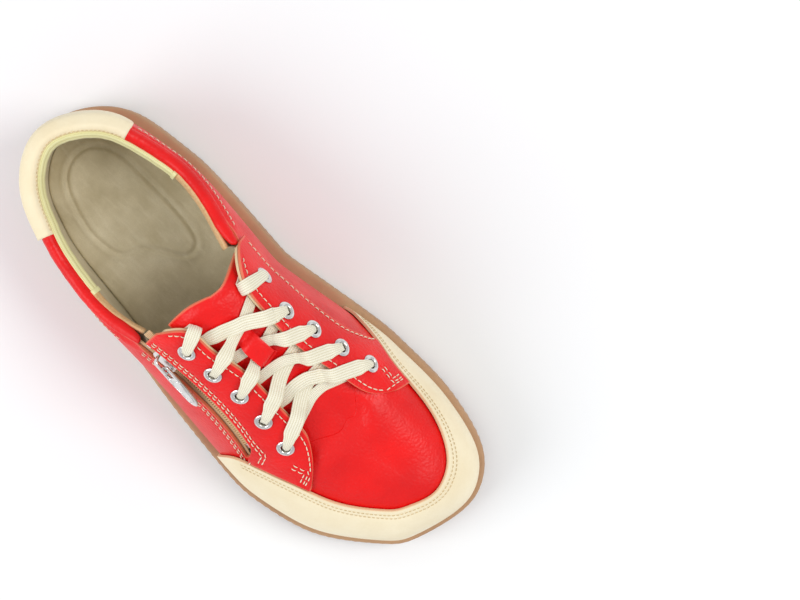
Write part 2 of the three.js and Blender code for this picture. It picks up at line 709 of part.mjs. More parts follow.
// The heel cap covers the collar and hangs down outside the quarters, deepest at the back.
const capDrop = graph([[0, 6.5], [0.04, 12], [0.1, 18], [0.18, 23], [0.348, 25]]);
function heelCap() {
  const places = stations(capLateral, 2 + capMedial);
  const section = (a) => {
    const fromEnd = Math.min(a - capLateral, 2 + capMedial - a);
    const drop = capDrop(fromEnd);
    return [
      [overlayTop, -drop], [overlayBase, -drop], [overlayBase, -drop * 0.66], [overlayBase, -drop * 0.33],
      [overlayBase, -3], ...collarArc([-55, -100, -140, 180, 140, 100, 60]),
      [0.9, 1.8], [overlayTop, -drop * 0.33], [overlayTop, -drop * 0.66],
    ];
  };
  const flat = section(1).map(([o, b]) => new THREE.Vector2(o, b));
  return prism(places.length, (i) => collarRing(section(places[i]), places[i]), flat);
}

// A bar with a hollow-sided section: its two ends are filled from the flat outline.
function prism(count, section, flat) {
  const rings = Array.from({ length: count }, (_, i) => section(i));
  const n = flat.length;
  const faces = [];
  for (let i = 0; i + 1 < count; i++) {
    for (let k = 0; k < n; k++) {
      const l = (k + 1) % n;
      faces.push([i * n + k, (i + 1) * n + k, (i + 1) * n + l], [i * n + k, (i + 1) * n + l, i * n + l]);
    }
  }
  const start = (count - 1) * n;
  const clockwise = THREE.ShapeUtils.isClockWise(flat);
  for (const [p, q, r] of THREE.ShapeUtils.triangulateShape(flat, [])) {
    const [q1, r1] = clockwise ? [r, q] : [q, r];
    faces.push([p, q1, r1], [start + p, start + r1, start + q1]);
  }
  return finish(rings.flat(), faces);
}
piece('heel_cap', heelCap(), 'creamLeather');

// The lining follows the wall, then turns in under the collar and up its inner side.
const rollInner = -2 * collarHalfWidth;
const liningTurn = -collarHalfHeight - 0.2;
const liningLip = rollInner - 0.6;
const liningPath = [
  [liningTop, -13], [liningTop - 1.2, liningTurn - 1.8], [liningLip + 0.9, liningTurn], [liningLip, -1.6]];
const liningInner = [
  [liningTop - liningThickness, -13.6], [liningTop - 1.8, liningTurn - 2.9],
  [liningLip, liningTurn - 1.1], [liningLip - liningThickness, -1.6]];
const liningPlaces = [
  ...stations(liningSplit + 0.004, 0.57, 0.04), 0.6, lateralRear, lateralCollarFront - 0.002,
  ...stations(0.66, 1.36), 1.39, 1.41, ...stations(1.44, 2 - liningSplit - 0.004, 0.04),
];
const medialLiningTop = 0.4;
function liningCollar(a) {
  return a < 1 ? smoothStep(a, 0.6, lateralCollarFront - 0.003) : 1 - smoothStep(a, 1.39, 1.41);
}
function liningFrontTop(a) {
  if (a > 1) return medialLiningTop;
  return mix(quarterSplit - 0.07, aboveZip(-zipOpening - 0.6)(a), openAt(a));
}
function liningPoint(i, j, side) {
  const a = liningPlaces[i];
  const plainTop = liningFrontTop(a);
  const thickness = side ? liningThickness : 0;
  const low = leatherFoot(a);
  const plainPoint = lift(a, mix(low, plainTop, j / 6), liningTop - thickness);
  const rolled = liningCollar(a);
  if (rolled === 0) return plainPoint;
  const line = collarLine(a);
  const start = line - 13 / climb(a, line);
  const path = side ? liningInner : liningPath;
  const collared = j < 3 ? lift(a, mix(low, start, j / 3), liningTop - thickness)
    : collarPoint(a, ...path[j - 3]);
  return plainPoint.lerp(collared, rolled);
}
piece('quarter_lining', sheet(liningPlaces.length - 1, 6, liningPoint), 'suede');

const bindingWidth = 2;
const bindingSection = [
  [rollInner - 0.4, -1], [rollInner - 0.4 - bindingWidth, -1], [rollInner - 0.1 - bindingWidth, 1.8],
  [rollInner + 0.1, 3.2]];
const bindingPlaces = stations(lateralCollarFront + 0.012, 2 + medialCollarFront - 0.008);
piece('topline_binding', bar(bindingPlaces.length, (i) => collarRing(bindingSection, bindingPlaces[i])), 'textile');

// ---------------------------------------------------------------- tongue
const tongueLateral = 0.66;
const tongueMedial = 2 - 0.42;
const tongueTopEdge = graph([[0.66, 0.605], [0.86, 0.605], [1.07, 0.59], [1.35, 0.583], [1.58, 0.575]]);
function tongueLayer(outer, thickness, margin, columns, rows) {
  return sheet(columns, rows, (i, j, side) => {
    const t = mix(tongueLateral + margin, tongueMedial - margin, j / rows);
    const a = mix(tongueFront + margin * 0.3, tongueTopEdge(t) - margin * 0.3, i / columns);
    return lift(a, t, outer - side * thickness);
  });
}
piece('tongue', tongueLayer(tongueTop, tongueThickness, 0, 12, 12), 'redLeather');
piece('tongue_lining', tongueLayer(tongueTop - tongueThickness - clearance, liningThickness, 0.02, 10, 10), 'suede');

// The loop on the tongue that keeps the laces in the middle.
const loopT = 0.965;
const loopHalf = 4.4;
const loopShape = [
  [0.438, -3.3], [0.4425, -3.2], [0.448, 0.3], [0.456, 0.7], [0.48, 0.7], [0.4895, 0.3], [0.4955, -3.2], [0.5, -3.3]];
piece('tongue_loop', bar(loopShape.length, (i) => {
  const [a, o] = loopShape[i];
  const half = loopHalf / climb(a, loopT);
  return [[-half, 0], [half, 0], [half, 0.9], [-half, 0.9]].map(([dt, h]) => lift(a, loopT + dt, o + h));
}), 'redLeather');

// ---------------------------------------------------------------- zip
const tapeStart = beneath(onZip(-zipOverrun + 1, 0, 0), zipPlaces[0])[0];
const tapeEnd = beneath(onZip(chainLength + zipOverrun - 2, 0, 0), zipPlaces[2])[0];
const tapePlaces = stations(tapeEnd, tapeStart);
const tapeEdge = chainHalfWidth + 0.8;
function tape(from, to) {
  const half = tapeThickness / 2;
  return panel(tapePlaces, aboveZip(from), aboveZip(to), chainLevel + half, chainLevel - half, 1);
}
piece('zip_tape_upper', tape(tapeEdge, tapeEdge + tapeWidth), 'zipTape');
piece('zip_tape_lower', tape(-tapeEdge - tapeWidth, -tapeEdge), 'zipTape');

const chainSection = [[1, -0.45], [1, 0.45], [0.6, 1], [-0.6, 1], [-1, 0.45], [-1, -0.45], [-0.6, -1], [0.6, -1]];
function zipBar(from, to, steps, section) {
  return bar(steps + 1, (i) => section.map(([w, h]) => onZip(mix(from, to, i / steps), w, h)));
}
piece('zip_chain', zipBar(0, chainLength, 14,
  chainSection.map(([w, h]) => [w * chainHalfWidth, h * chainHalfHeight])), 'zipTape');
const rectangle = (w0, w1, h0, h1) => [[w0, h0], [w1, h0], [w1, h1], [w0, h1]];
piece('zip_bottom_stop', zipBar(chainLength + 0.3, chainLength + 3, 1, rectangle(-2.2, 2.2, -0.9, 1.2)), 'nickel');
piece('zip_top_stop_upper', zipBar(-3, -0.6, 1, rectangle(0.4, 2.2, -0.9, 1)), 'nickel');
piece('zip_top_stop_lower', zipBar(-3, -0.6, 1, rectangle(-2.2, -0.4, -0.9, 1)), 'nickel');

// The slider is made flat, x along the chain towards the toe, y across, z outwards.
const sliderRest = 8;
const channel = chainHalfHeight + 0.4;
function ontoChain(geometry, s) {
  const forward = onZip(s + 0.5, 0, 0).sub(onZip(s - 0.5, 0, 0)).normalize();
  const across = onZip(s, 1, 0).sub(onZip(s, 0, 0)).normalize();
  const frame = new THREE.Matrix4().makeBasis(forward, across, zipOut);
  frame.setPosition(onZip(s, 0, 0));
  return geometry.applyMatrix4(frame);
}

function plate(outlinePoints, thickness, bevel = 0) {
  const shape = new THREE.Shape(outlinePoints.map(([x, y]) => new THREE.Vector2(x, y)));
  return new THREE.ExtrudeGeometry(shape, {
    depth: thickness, bevelEnabled: bevel > 0, bevelSize: bevel, bevelThickness: bevel, bevelOffset: -bevel,
    bevelSegments: 1, steps: 1,
  });
}
const sliderOutline = [
  [0.5, 0.5], [0.42, 0.82], [0.1, 1], [-0.3, 0.94], [-0.5, 0.62],
  [-0.5, -0.62], [-0.3, -0.94], [0.1, -1], [0.42, -0.82], [0.5, -0.5],
].map(([x, y]) => [x * sliderLength, y * sliderHalfWidth]);

const bridgeHalf = 4.4;
const bridgeWidth = 2;
const pivotHeight = 5.4;
const pivotRadius = 0.5;
const bridgeTop = pivotHeight + pivotRadius + 1.3;
function bridge() {
  const base = channel + sliderPlate - 0.3;
  const shape = new THREE.Shape([
    [-bridgeHalf, base], [bridgeHalf, base], [bridgeHalf - 0.6, bridgeTop - 1], [bridgeHalf - 1.8, bridgeTop],
    [-bridgeHalf + 1.8, bridgeTop], [-bridgeHalf + 0.6, bridgeTop - 1],
  ].map(([x, y]) => new THREE.Vector2(x, y)));
  shape.holes.push(new THREE.Path([
    [-bridgeHalf + 1.3, base + 1.2], [-bridgeHalf + 1.6, bridgeTop - 1], [bridgeHalf - 1.6, bridgeTop - 1],
    [bridgeHalf - 1.3, base + 1.2],
  ].map(([x, y]) => new THREE.Vector2(x, y))));
  const arch = new THREE.ExtrudeGeometry(shape, { depth: bridgeWidth, bevelEnabled: false });
  arch.rotateX(Math.PI / 2);
  arch.translate(0, bridgeWidth / 2, 0);
  arch.rotateZ(pullYaw);
  return arch;
}
const topPlate = plate(sliderOutline, sliderPlate);
topPlate.translate(0, 0, channel);
piece('zip_slider', ontoChain(join(topPlate, bridge()), sliderRest), 'nickel');
const bottomPlate = plate(sliderOutline.map(([x, y]) => [x * 0.96, y * 0.94]), sliderPlate);
bottomPlate.translate(0, 0, -channel - sliderPlate);
piece('slider_bottom_plate', ontoChain(bottomPlate, sliderRest), 'nickel');

// The pull: a cross bar through the bridge, two arms beside it and a tapered plate.
const pivotAlong = 1.2;
function pull() {
  const arm = bridgeWidth / 2 + 0.5;
  const half = pullWidth / 2;
  const shape = new THREE.Shape([
    [-0.6, -half * 0.8], [-0.6, half * 0.8], [6, half], [pullLength - 4, half * 0.8], [pullLength - 1.2, half * 0.5],
    [pullLength, 0], [pullLength - 1.2, -half * 0.5], [pullLength - 4, -half * 0.8], [6, -half],
  ].map(([x, y]) => new THREE.Vector2(x, y)));
  const reach = bridgeHalf - pivotAlong + 1;
  shape.holes.push(new THREE.Path([[pivotRadius, arm], [pivotRadius, -arm], [reach + 1.8, -arm], [reach + 1.8, arm]]
    .map(([x, y]) => new THREE.Vector2(x, y))));
  const body = new THREE.ExtrudeGeometry(shape, { depth: pullThickness, bevelEnabled: false });
  body.translate(0, 0, -pullThickness / 2);
  body.rotateZ(pullYaw);
  const pivot = new THREE.Vector2(pivotAlong, 0).rotateAround(new THREE.Vector2(), pullYaw);
  body.translate(pivot.x, pivot.y, pivotHeight);
  return body;
}
piece('zip_pull', ontoChain(pull(), sliderRest), 'nickel');

// ---------------------------------------------------------------- eyelets
function eyelet() {
  const top = overlayTop;
  const profile = [
    [eyeletBore, -0.5], [eyeletBore, top + eyeletHeight - 0.3], [eyeletBore + 0.9, top + eyeletHeight],
    [eyeletFlange, top + 0.45], [eyeletBarrel, top + 0.4], [eyeletBarrel, 0.1], [eyeletBarrel + 0.9, -0.2],
    [eyeletBore, -0.5],
  ];
  const ring = new THREE.LatheGeometry(profile.map(([r, z]) => new THREE.Vector2(r, z)), 10);
  ring.rotateX(Math.PI / 2);
  return plain(ring);
}
function outward(geometry) {
  const { position } = geometry.attributes;
  const points = Array.from({ length: position.count }, (_, i) => new THREE.Vector3().fromBufferAttribute(position, i));
  const index = Array.from(geometry.index.array);
  const faces = [];
  for (let k = 0; k < index.length; k += 3) faces.push(index.slice(k, k + 3));
  return finish(points, faces);
}
for (const [side, places] of [['medial', medialEyelets], ['lateral', lateralEyelets]]) {
  places.forEach(([a, t], i) => piece(`eyelet_${side}_${i + 1}`, outward(standOn(eyelet(), a, t, 0)), 'nickel'));
}

// ---------------------------------------------------------------- lace
const back = (list) => list.slice().reverse();

// A place on the chart of both sides: lateral a, with t over 1 on the medial side.
const onChart = ([a, t]) => (a < 0 ? [-a, 2 - t] : [a, t]);

// A station of the lace: chart place, offset, width, thickness and the direction it travels.
function laceAt(place, offset, width, thickness, toward) {
  const [a, t] = place;
  const n = normal(a, t);
  const d = last(...toward[1]).sub(last(...toward[0]));
  return { point: lift(a, t, offset), across: n.clone().cross(d).normalize(), width, thickness };
}

// Around an eyelet the lace narrows to the bore: [distance, offset, width].
const overEyelet = [[0, 0.9, lacePinch], [0.5, 3.1, lacePinch], [1.9, 4.3, 3.6], [4.6, 4.3, 5.2], [7.4, laceOver, laceWidth]];
const underEyelet = [[6.4, laceUnder, 5.6], [2.6, laceUnder, 3.6], [0.5, laceUnder + 0.45, lacePinch], [0, -0.9, lacePinch]];

// The share of a strand that lies over the facing it starts from.
function shareToEdge(start, end, medial) {
  for (let s = 0; s < 0.5; s += 0.005) {
    const a = mix(start[0], end[0], s);
    const t = mix(start[1], end[1], s);
    if (medial ? t < 2 - medialThroat(-a) : t > lateralThroat(a)) return s;
  }
  return 0.5;
}

// One strand, from on top of one eyelet to under the next one up on the other side.
// It falls from the facing's edge, passes over or under the strand it crosses, and ends below.
function strand(from, to, upper, crossingWidth = laceWidth) {
  const start = onChart(from);
  const end = onChart(to);
  const toward = [start, end];
  const length = last(...start).distanceTo(last(...end)) * 1.06;
  const place = (s) => [mix(start[0], end[0], s), mix(start[1], end[1], s)];
  const edge = shareToEdge(start, end, from[0] < 0);
  const crossing = laceUnder + laceThickness + 0.45;
  const middle = upper
    ? [[edge * 0.75, laceOver, laceWidth], [edge + 0.05, laceOver, laceWidth], [0.43, crossing], [0.5, crossing], [0.57, crossing], [0.68, laceUnder],
      [0.77, laceUnder]]
    : [[edge + 0.03, laceOver, laceWidth], [edge + 0.1, laceOver - 4.1], [edge + 0.16, laceUnder],
      [0.45, laceUnder], [0.56, laceUnder], [0.67, laceUnder], [0.78, laceUnder]];
  return [
    ...overEyelet.map(([d, o, w]) => laceAt(place(d / length), o, w, laceThickness, toward)),
    ...middle.map(([s, o, w = crossingWidth]) => laceAt(place(s), o, w, laceThickness, toward)),
    ...underEyelet.map(([d, o, w]) => laceAt(place(1 - d / length), o, w, laceThickness, toward)),
  ];
}

function underBar(from, to) {
  const start = onChart(from);
  const end = onChart(to);
  const length = last(...start).distanceTo(last(...end)) * 1.06;
  const place = (s) => [mix(start[0], end[0], s), mix(start[1], end[1], s)];
  const station = (s, o, w) => laceAt(place(s), o, w, laceThickness, [start, end]);
  return [
    ...back(underEyelet).map(([d, o, w]) => station(d / length, o, w)),
    ...[0.26, 0.38, 0.5, 0.62, 0.74].map((s) => station(s, laceUnder, 5)),
    ...underEyelet.map(([d, o, w]) => station(1 - d / length, o, w)),
  ];
}

// The free end folds over the facing's edge and lies hidden between facing and tongue.
function tail(from, fold, end) {
  const toFold = [onChart(from), onChart(fold)];
  const back = [onChart(fold), onChart(end)];
  const run = last(...toFold[0]).distanceTo(last(...toFold[1]));
  const go = ([p, q], s) => [mix(p[0], q[0], s), mix(p[1], q[1], s)];
  return [
    ...overEyelet.slice(0, 4).map(([d, o, w]) => laceAt(go(toFold, d / run), o, w, laceThickness, toFold)),
    laceAt(go(toFold, 1), laceOver, laceWidth - 0.6, laceThickness, toFold),
    laceAt(go(toFold, 1.18), 1.2, laceWidth - 0.8, laceThickness, toFold),
    laceAt(go(toFold, 1.12), laceUnder + 0.4, laceWidth - 1.4, laceThickness, toFold),
    laceAt(go(back, 0.25), laceUnder, 5, laceThickness, toFold),
    laceAt(go(back, 0.55), laceUnder, 4.4, laceThickness, toFold),
  ];
}

const [m1, m2, m3, m4, m5] = medialEyelets;
const [l1, l2, l3, l4, l5] = lateralEyelets;
const medialFold = [-0.553, 0.695];
const medialTailEnd = [-0.57, 0.5];
const lateralFold = [0.572, 0.8];
const lateralTailEnd = [0.588, 0.635];
const laceStations = [
  ...back(tail(m1, medialFold, medialTailEnd)),
  ...back(strand(l2, m1, false, laceBunched)), ...back(strand(m3, l2, true, laceBunched)),
  ...back(strand(l4, m3, false)), ...back(strand(m5, l4, true)),
  ...underBar(m5, l5),
  ...strand(l5, m4, false), ...strand(m4, l3, true, laceBunched),
  ...strand(l3, m2, false, laceBunched), ...strand(m2, l1, true),
  ...tail(l1, lateralFold, lateralTailEnd),
];

function ribbon(list) {
  let before = list[0].across;
  return bar(list.length, (i) => {
    const { point, width, thickness } = list[i];
    const ahead = list[Math.min(i + 1, list.length - 1)].point;
    const behind = list[Math.max(i - 1, 0)].point;
    const along = ahead.clone().sub(behind).normalize();
    const across = list[i].across.clone().addScaledVector(along, -list[i].across.dot(along)).normalize();
    if (across.dot(before) < 0) across.negate();
    before = across;
    const up = along.clone().cross(across);
    return [[1, 1], [-1, 1], [-1, -1], [1, -1]].map(([x, y]) => point.clone()
      .addScaledVector(across, x * width / 2).addScaledVector(up, y * thickness / 2));
  });
}
piece('lace', ribbon(laceStations), 'lace');

function aglet(fold, end) {
  const path = [onChart(fold), onChart(end)];
  const place = (s) => [mix(path[0][0], path[1][0], s), mix(path[0][1], path[1][1], s)];
  return ribbon([0.6, 0.8, 1].map((s) => laceAt(place(s), laceUnder, 4, laceThickness, path)));
}
piece('aglet_medial', aglet(medialFold, medialTailEnd), 'plastic');
piece('aglet_lateral', aglet(lateralFold, lateralTailEnd), 'plastic');

export default shoe;
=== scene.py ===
"""The looks of a right two-tone leather shoe with flat laces and a side zip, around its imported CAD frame.

Lengths are millimetres in the frame's own axes (+Y to the toe, +X to the outer side, +Z up) until a
mesh is made. Every layer of the upper is a skin on one surface, the last: a runs round the sole's
edge (0 toe, 1 heel, positive on the outer side), t runs up the wall (0 edge, 1 ridge over the
instep, more beyond it), and o is the distance outwards.
"""
import math

import bmesh
import bpy
import numpy as np
from mathutils import Matrix, Vector
from mathutils.kdtree import KDTree


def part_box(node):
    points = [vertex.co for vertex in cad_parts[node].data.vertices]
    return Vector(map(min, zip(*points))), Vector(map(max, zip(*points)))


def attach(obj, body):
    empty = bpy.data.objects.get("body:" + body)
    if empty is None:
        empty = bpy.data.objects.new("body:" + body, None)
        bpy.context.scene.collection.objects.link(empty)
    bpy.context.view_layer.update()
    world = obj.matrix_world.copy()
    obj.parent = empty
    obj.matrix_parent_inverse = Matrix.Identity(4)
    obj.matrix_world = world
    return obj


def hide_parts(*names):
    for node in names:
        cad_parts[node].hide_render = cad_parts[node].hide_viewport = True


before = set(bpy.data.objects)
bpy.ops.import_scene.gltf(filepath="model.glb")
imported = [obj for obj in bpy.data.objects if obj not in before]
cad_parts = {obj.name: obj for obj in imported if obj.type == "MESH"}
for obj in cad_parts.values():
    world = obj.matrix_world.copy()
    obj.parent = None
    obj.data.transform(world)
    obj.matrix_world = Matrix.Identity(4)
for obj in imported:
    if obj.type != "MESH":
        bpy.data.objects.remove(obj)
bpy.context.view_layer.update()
rng = np.random.default_rng(7)
MM = 0.001
MM_PER_A = 320     # roughly how many millimetres one unit of a and of t is worth
MM_PER_T = 75

# ---------------------------------------------------------------- sizes
sole_low, sole_high = (np.array(corner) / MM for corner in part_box("outsole"))
half_length = (sole_high[1] - sole_low[1]) / 2
sole_width = 103.2
heel_thickness = 17
fore_thickness = 9
toe_spring = 7
toe_spring_start = 50
flange = 4.4
tuck = 2.5
tuck_height = 0.14
clearance = 0.5
leather = 1.4
overlay = 1.4
stiffener = 1
lining_thickness = 1
tongue_thickness = 2.4
collar_half_width = 3.3
topline_lean = 4
collar_half_height = 4.6
eyelet_bore = 2.1
eyelet_barrel = 2.7
eyelet_flange = 4.2
lace_width = 7
lace_bunched = 5.2
lace_thickness = 1.2
lace_pinch = 3.2
chain_half_width = 2.3
zip_opening = 4.9
tape_width = 6
slider_length = 12.5
slider_half_width = 3.9
pull_length = 24
pull_width = 6.4
pull_yaw = -0.28
stitch_pitch = 2.95

overlay_base = clearance
overlay_top = clearance + overlay
lining_top = -leather - clearance - stiffener - clearance
lace_under = -leather - clearance - lace_thickness / 2
tongue_top = lace_under - lace_thickness / 2 - clearance
lace_over = overlay_top + clearance + 0.3 + lace_thickness / 2
chain_level = -leather - clearance - 0.35


# ---------------------------------------------------------------- smooth curves
def mix(a, b, s):
    return a + (b - a) * s


def smooth(x, low, high):
    s = np.clip((x - low) / (high - low), 0, 1)
    return s * s * (3 - 2 * s)


def bell(x, middle, width):
    return np.exp(-(((x - middle) / width) ** 2))


def curve(points, closed=False):
    """A cubic B-spline through its points; u counts the points."""
    fixed = np.array(points, float)
    values = fixed.copy()
    for _ in range(30):
        moved = (6 * fixed - np.roll(values, 1, 0) - np.roll(values, -1, 0)) / 4
        if not closed:
            moved[[0, -1]] = fixed[[0, -1]]
        values = moved
    n = len(values)
    if closed:
        padded = np.vstack([values[-1:], values, values[:3]])
    else:
        padded = np.vstack([2 * values[0] - values[1], values, 2 * values[-1] - values[-2]])

    def at(u):
        w = np.mod(u, n) if closed else np.clip(u, 0, n - 1)
        i = np.floor(w).astype(int)
        if not closed:
            i = np.minimum(i, n - 2)
        f = (w - i)[..., None]
        weights = [(1 - f) ** 3 / 6, (3 * f ** 3 - 6 * f ** 2 + 4) / 6,
                   (-3 * f ** 3 + 3 * f ** 2 + 3 * f + 1) / 6, f ** 3 / 6]
        return sum(weight * padded[i + k] for k, weight in enumerate(weights))
    return at


def graph(points, samples=400):
    """A smooth y = f(x) through a few points with x rising."""
    line = curve(points)(np.linspace(0, len(points) - 1, samples + 1))
    return lambda x: np.interp(x, line[:, 0], line[:, 1])


# ---------------------------------------------------------------- the last
sole_shape = [
    [-0.27, 1], [0.19, 0.955], [0.445, 0.887], [0.755, 0.735], [0.92, 0.588], [0.998, 0.436],
    [0.994, 0.288], [0.89, -0.015], [0.746, -0.31], [0.65, -0.606], [0.543, -0.758],
    [0.34, -0.905], [-0.155, -1], [-0.65, -0.905], [-0.833, -0.758], [-0.882, -0.606],
    [-0.895, -0.455], [-0.84, -0.16], [-0.853, -0.015], [-0.975, 0.288], [-1, 0.436],
    [-1, 0.588], [-0.955, 0.735], [-0.833, 0.887], [-0.6, 0.977]]
heel_index = 12
sole_line = curve([[x * sole_width / 2, y * half_length] for x, y in sole_shape], True)


def side_table(start, end):
    u = np.linspace(start, end, 601)
    steps = np.linalg.norm(np.diff(sole_line(u), axis=0), axis=1)
    run = np.concatenate([[0], np.cumsum(steps)])
    return lambda share: np.interp(share, run / run[-1], u)


lateral_side = side_table(0, heel_index)
medial_side = side_table(len(sole_shape), heel_index)


def wrap(a):
    return np.mod(np.mod(a + 1, 2) + 2, 2) - 1


def outline(a, inset=0):
    w = wrap(np.asarray(a, float))
    u = np.where(w >= 0, lateral_side(np.abs(w)), medial_side(np.abs(w)))
    place = sole_line(u)
    d = sole_line(u + 0.02) - sole_line(u - 0.02)
    d = d / np.linalg.norm(d, axis=-1, keepdims=True)
    return place[..., 0] + d[..., 1] * inset, place[..., 1] - d[..., 0] * inset


def underside(y):
    return toe_spring * (np.maximum(y - toe_spring_start, 0) / (half_length - toe_spring_start)) ** 2


def feather_height(y):
    return underside(y) + mix(heel_thickness, fore_thickness, smooth(y, -55, 25))


ridge_side = graph([[-1, -8], [-0.45, -10], [0, -13], [0.38, -12.5], [0.68, -11], [1, -12]])
ridge_height = graph([
    [-1, 112], [-0.455, 110], [-0.19, 101], [0, 92], [0.15, 83], [0.3, 73], [0.455, 63.5],
    [0.606, 56.5], [0.735, 52.5], [1, 51]])
ridge_reach = 0.76
lateral_shoulder = graph([[0, 2.2], [0.15, 1.95], [0.3, 1.8], [0.45, 1.85], [0.6, 2.1], [0.8, 2.4], [1, 2.4]])
medial_shoulder = graph([[0, 2.2], [0.15, 2.4], [0.3, 2.5], [0.5, 2.7], [0.65, 3], [0.8, 2.6], [1, 2.4]])


def last(a0, t0):
    a0, t0 = np.broadcast_arrays(np.asarray(a0, float), np.asarray(t0, float))
    beyond = t0 > 1
    a = wrap(np.where(beyond, -a0, a0))
    t = np.where(beyond, 2 - t0, t0)
    x, y = outline(a, flange)
    ridge_y = (y + outline(-a, flange)[1]) / 2 * ridge_reach
    ridge_x = ridge_side(ridge_y / half_length)
    ridge_z = ridge_height(ridge_y / half_length)
    lateral = a > 0
    power = np.where(lateral, lateral_shoulder(a), medial_shoulder(-a))
    c = np.cos(t * math.pi / 2)
    s = np.sin(t * math.pi / 2)
    rho = (np.abs(c) ** power + np.abs(s) ** power) ** (1 / power)
    reach = np.hypot(ridge_x - x, ridge_y - y)
    turned = tuck * np.maximum(1 - t / tuck_height, 0) ** 2
    swell = (np.where(lateral, 5, 3.5) * bell(np.abs(a), 0.7, 0.14)
             * bell(t, np.where(lateral, 0.33, 0.25), 0.17))
    inwards = 1 - c / rho + (turned - swell) / reach
    lean = topline_lean * smooth(np.abs(a), 0.61, 0.76) * smooth(t, 0.25, 0.8)
    return np.stack([mix(x, ridge_x, inwards) - lean, mix(y, ridge_y, inwards),
                     mix(feather_height(y), ridge_z, s / rho)], -1)


def normal(a, t):
    a, t = np.broadcast_arrays(np.asarray(a, float), np.asarray(t, float))
    e = 1e-3
    along = last(a + e, t) - last(a - e, t)
    flat = np.linalg.norm(along, axis=-1) < 1e-6
    if flat.any():
        t = np.where(flat, t - 0.01, t)
        along = last(a + e, t) - last(a - e, t)
    up = last(a, t + e) - last(a, t - e)
    n = np.cross(up, along)
    return n / np.linalg.norm(n, axis=-1, keepdims=True)


def lift(a, t, o):
    return last(a, t) + normal(a, t) * np.asarray(o, float)[..., None]


def climb(a, t):
    return np.linalg.norm(last(a, np.asarray(t) + 0.005) - last(a, np.asarray(t) - 0.005), axis=-1) * 100


def stride(a, t):
    return np.linalg.norm(last(np.asarray(a) + 0.002, t) - last(np.asarray(a) - 0.002, t), axis=-1) * 250


def wall_at(a, z):
    """The t at which the wall reaches a height."""
    a, z = np.broadcast_arrays(np.asarray(a, float), np.asarray(z, float))
    low = np.zeros(a.shape)
    high = np.ones(a.shape)
    for _ in range(24):
        middle = (low + high) / 2
        under = last(a, middle)[..., 2] < z
        low = np.where(under, middle, low)
        high = np.where(under, high, middle)
    return low


def foot(a, rise):
    return wall_at(a, feather_height(outline(a, flange)[1]) + rise)


def leather_foot(a):
    return foot(a, 0.9)


def overlay_foot(a):
    return foot(a, 1.4)


# ---------------------------------------------------------------- the edges of the upper
guard_from, guard_to = -0.42, 0.42
guard_edge = graph([
    [guard_from, 0.05], [-0.39, 0.18], [-0.35, 0.31], [-0.3, 0.4], [-0.24, 0.44], [-0.18, 0.48],
    [-0.12, 0.56], [-0.07, 0.63], [-0.02, 0.675], [0.04, 0.68], [0.09, 0.65], [0.14, 0.6], [0.2, 0.55],
    [0.265, 0.52], [0.32, 0.475], [0.36, 0.43], [0.4, 0.33], [guard_to, 0.15]])
medial_throat = graph([
    [-0.6, 0.46], [-0.59, 0.54], [-0.57, 0.64], [-0.54, 0.72], [-0.5, 0.77], [-0.45, 0.815],
    [-0.4, 0.815], [-0.35, 0.79], [-0.31, 0.765], [-0.28, 0.71], [-0.264, 0.56]])
lateral_throat = graph([
    [0.264, 0.56], [0.275, 0.67], [0.29, 0.75], [0.315, 0.81], [0.36, 0.825], [0.42, 0.835],
    [0.48, 0.83], [0.53, 0.8], [0.57, 0.795], [0.595, 0.73], [0.612, 0.62]])
medial_seam = graph([[-0.6, 0.39], [-0.53, 0.4], [-0.47, 0.44], [-0.42, 0.455], [-0.385, 0.43], [-0.35, 0.34]])
facing_tab = 0.264
facing_rear = 0.6
lateral_rear = 0.612
vamp_side = 0.3
vamp_throat = 0.245
quarter_front = 0.3035
tongue_front = 0.215
lining_split = 0.203
collar_height = graph([
    [0.6, 79], [0.64, 73], [0.68, 66.5], [0.72, 62], [0.76, 60], [0.8, 61], [0.84, 64], [0.88, 68],
    [0.94, 72.5], [1, 74]])


def collar_line(a):
    return wall_at(a, collar_height(np.abs(wrap(a))) - collar_half_height * 0.9)


medial_collar_front = -0.612
lateral_collar_front = 0.632
cap_medial = -0.832
cap_lateral = 0.82
gap_along = 0.0016

# ---------------------------------------------------------------- the zip's line
zip_places = np.array([[0.598, 0.495], [0.498, 0.532], [0.392, 0.48]])
zip_top, zip_middle, zip_toe = lift(zip_places[:, 0], zip_places[:, 1], np.full(3, chain_level))


def unit(v):
    return v / np.linalg.norm(v, axis=-1, keepdims=True)


def circle_through(p, q, r):
    u = q - p
    v = r - p
    w = np.cross(u, v)
    to_centre = (np.cross(w, u) * (v @ v) + np.cross(v, w) * (u @ u)) / (2 * (w @ w))
    return p + to_centre, np.linalg.norm(to_centre), unit(w)


zip_centre, zip_radius, zip_axis = circle_through(zip_top, zip_middle, zip_toe)
zip_out = -zip_axis
zip_radial = unit(zip_top - zip_centre)
zip_forward = np.cross(zip_axis, zip_radial)
to_toe = zip_toe - zip_centre
chain_length = zip_radius * math.atan2(to_toe @ zip_forward, to_toe @ zip_radial)


def on_zip(s, w, h):
    """A point s along the chain, w across it towards the throat, h outwards."""
    angle = np.asarray(s, float)[..., None] / zip_radius
    radial = zip_radial * np.cos(angle) + zip_forward * np.sin(angle)
    return (zip_centre + radial * (zip_radius + np.asarray(w, float)[..., None])
            + zip_out * np.asarray(h, float)[..., None])


def beneath(point, guess):
    a, t = guess
    e = 1e-3
    for _ in range(12):
        here = last(a, t)
        gap = point - here
        along = (last(a + e, t) - here) / e
        up = (last(a, t + e) - here) / e
        aa, at, tt = along @ along, along @ up, up @ up
        det = aa * tt - at * at
        a, t = (a + (tt * (gap @ along) - at * (gap @ up)) / det,
                t + (aa * (gap @ up) - at * (gap @ along)) / det)
    return a, t


zip_overrun = 8


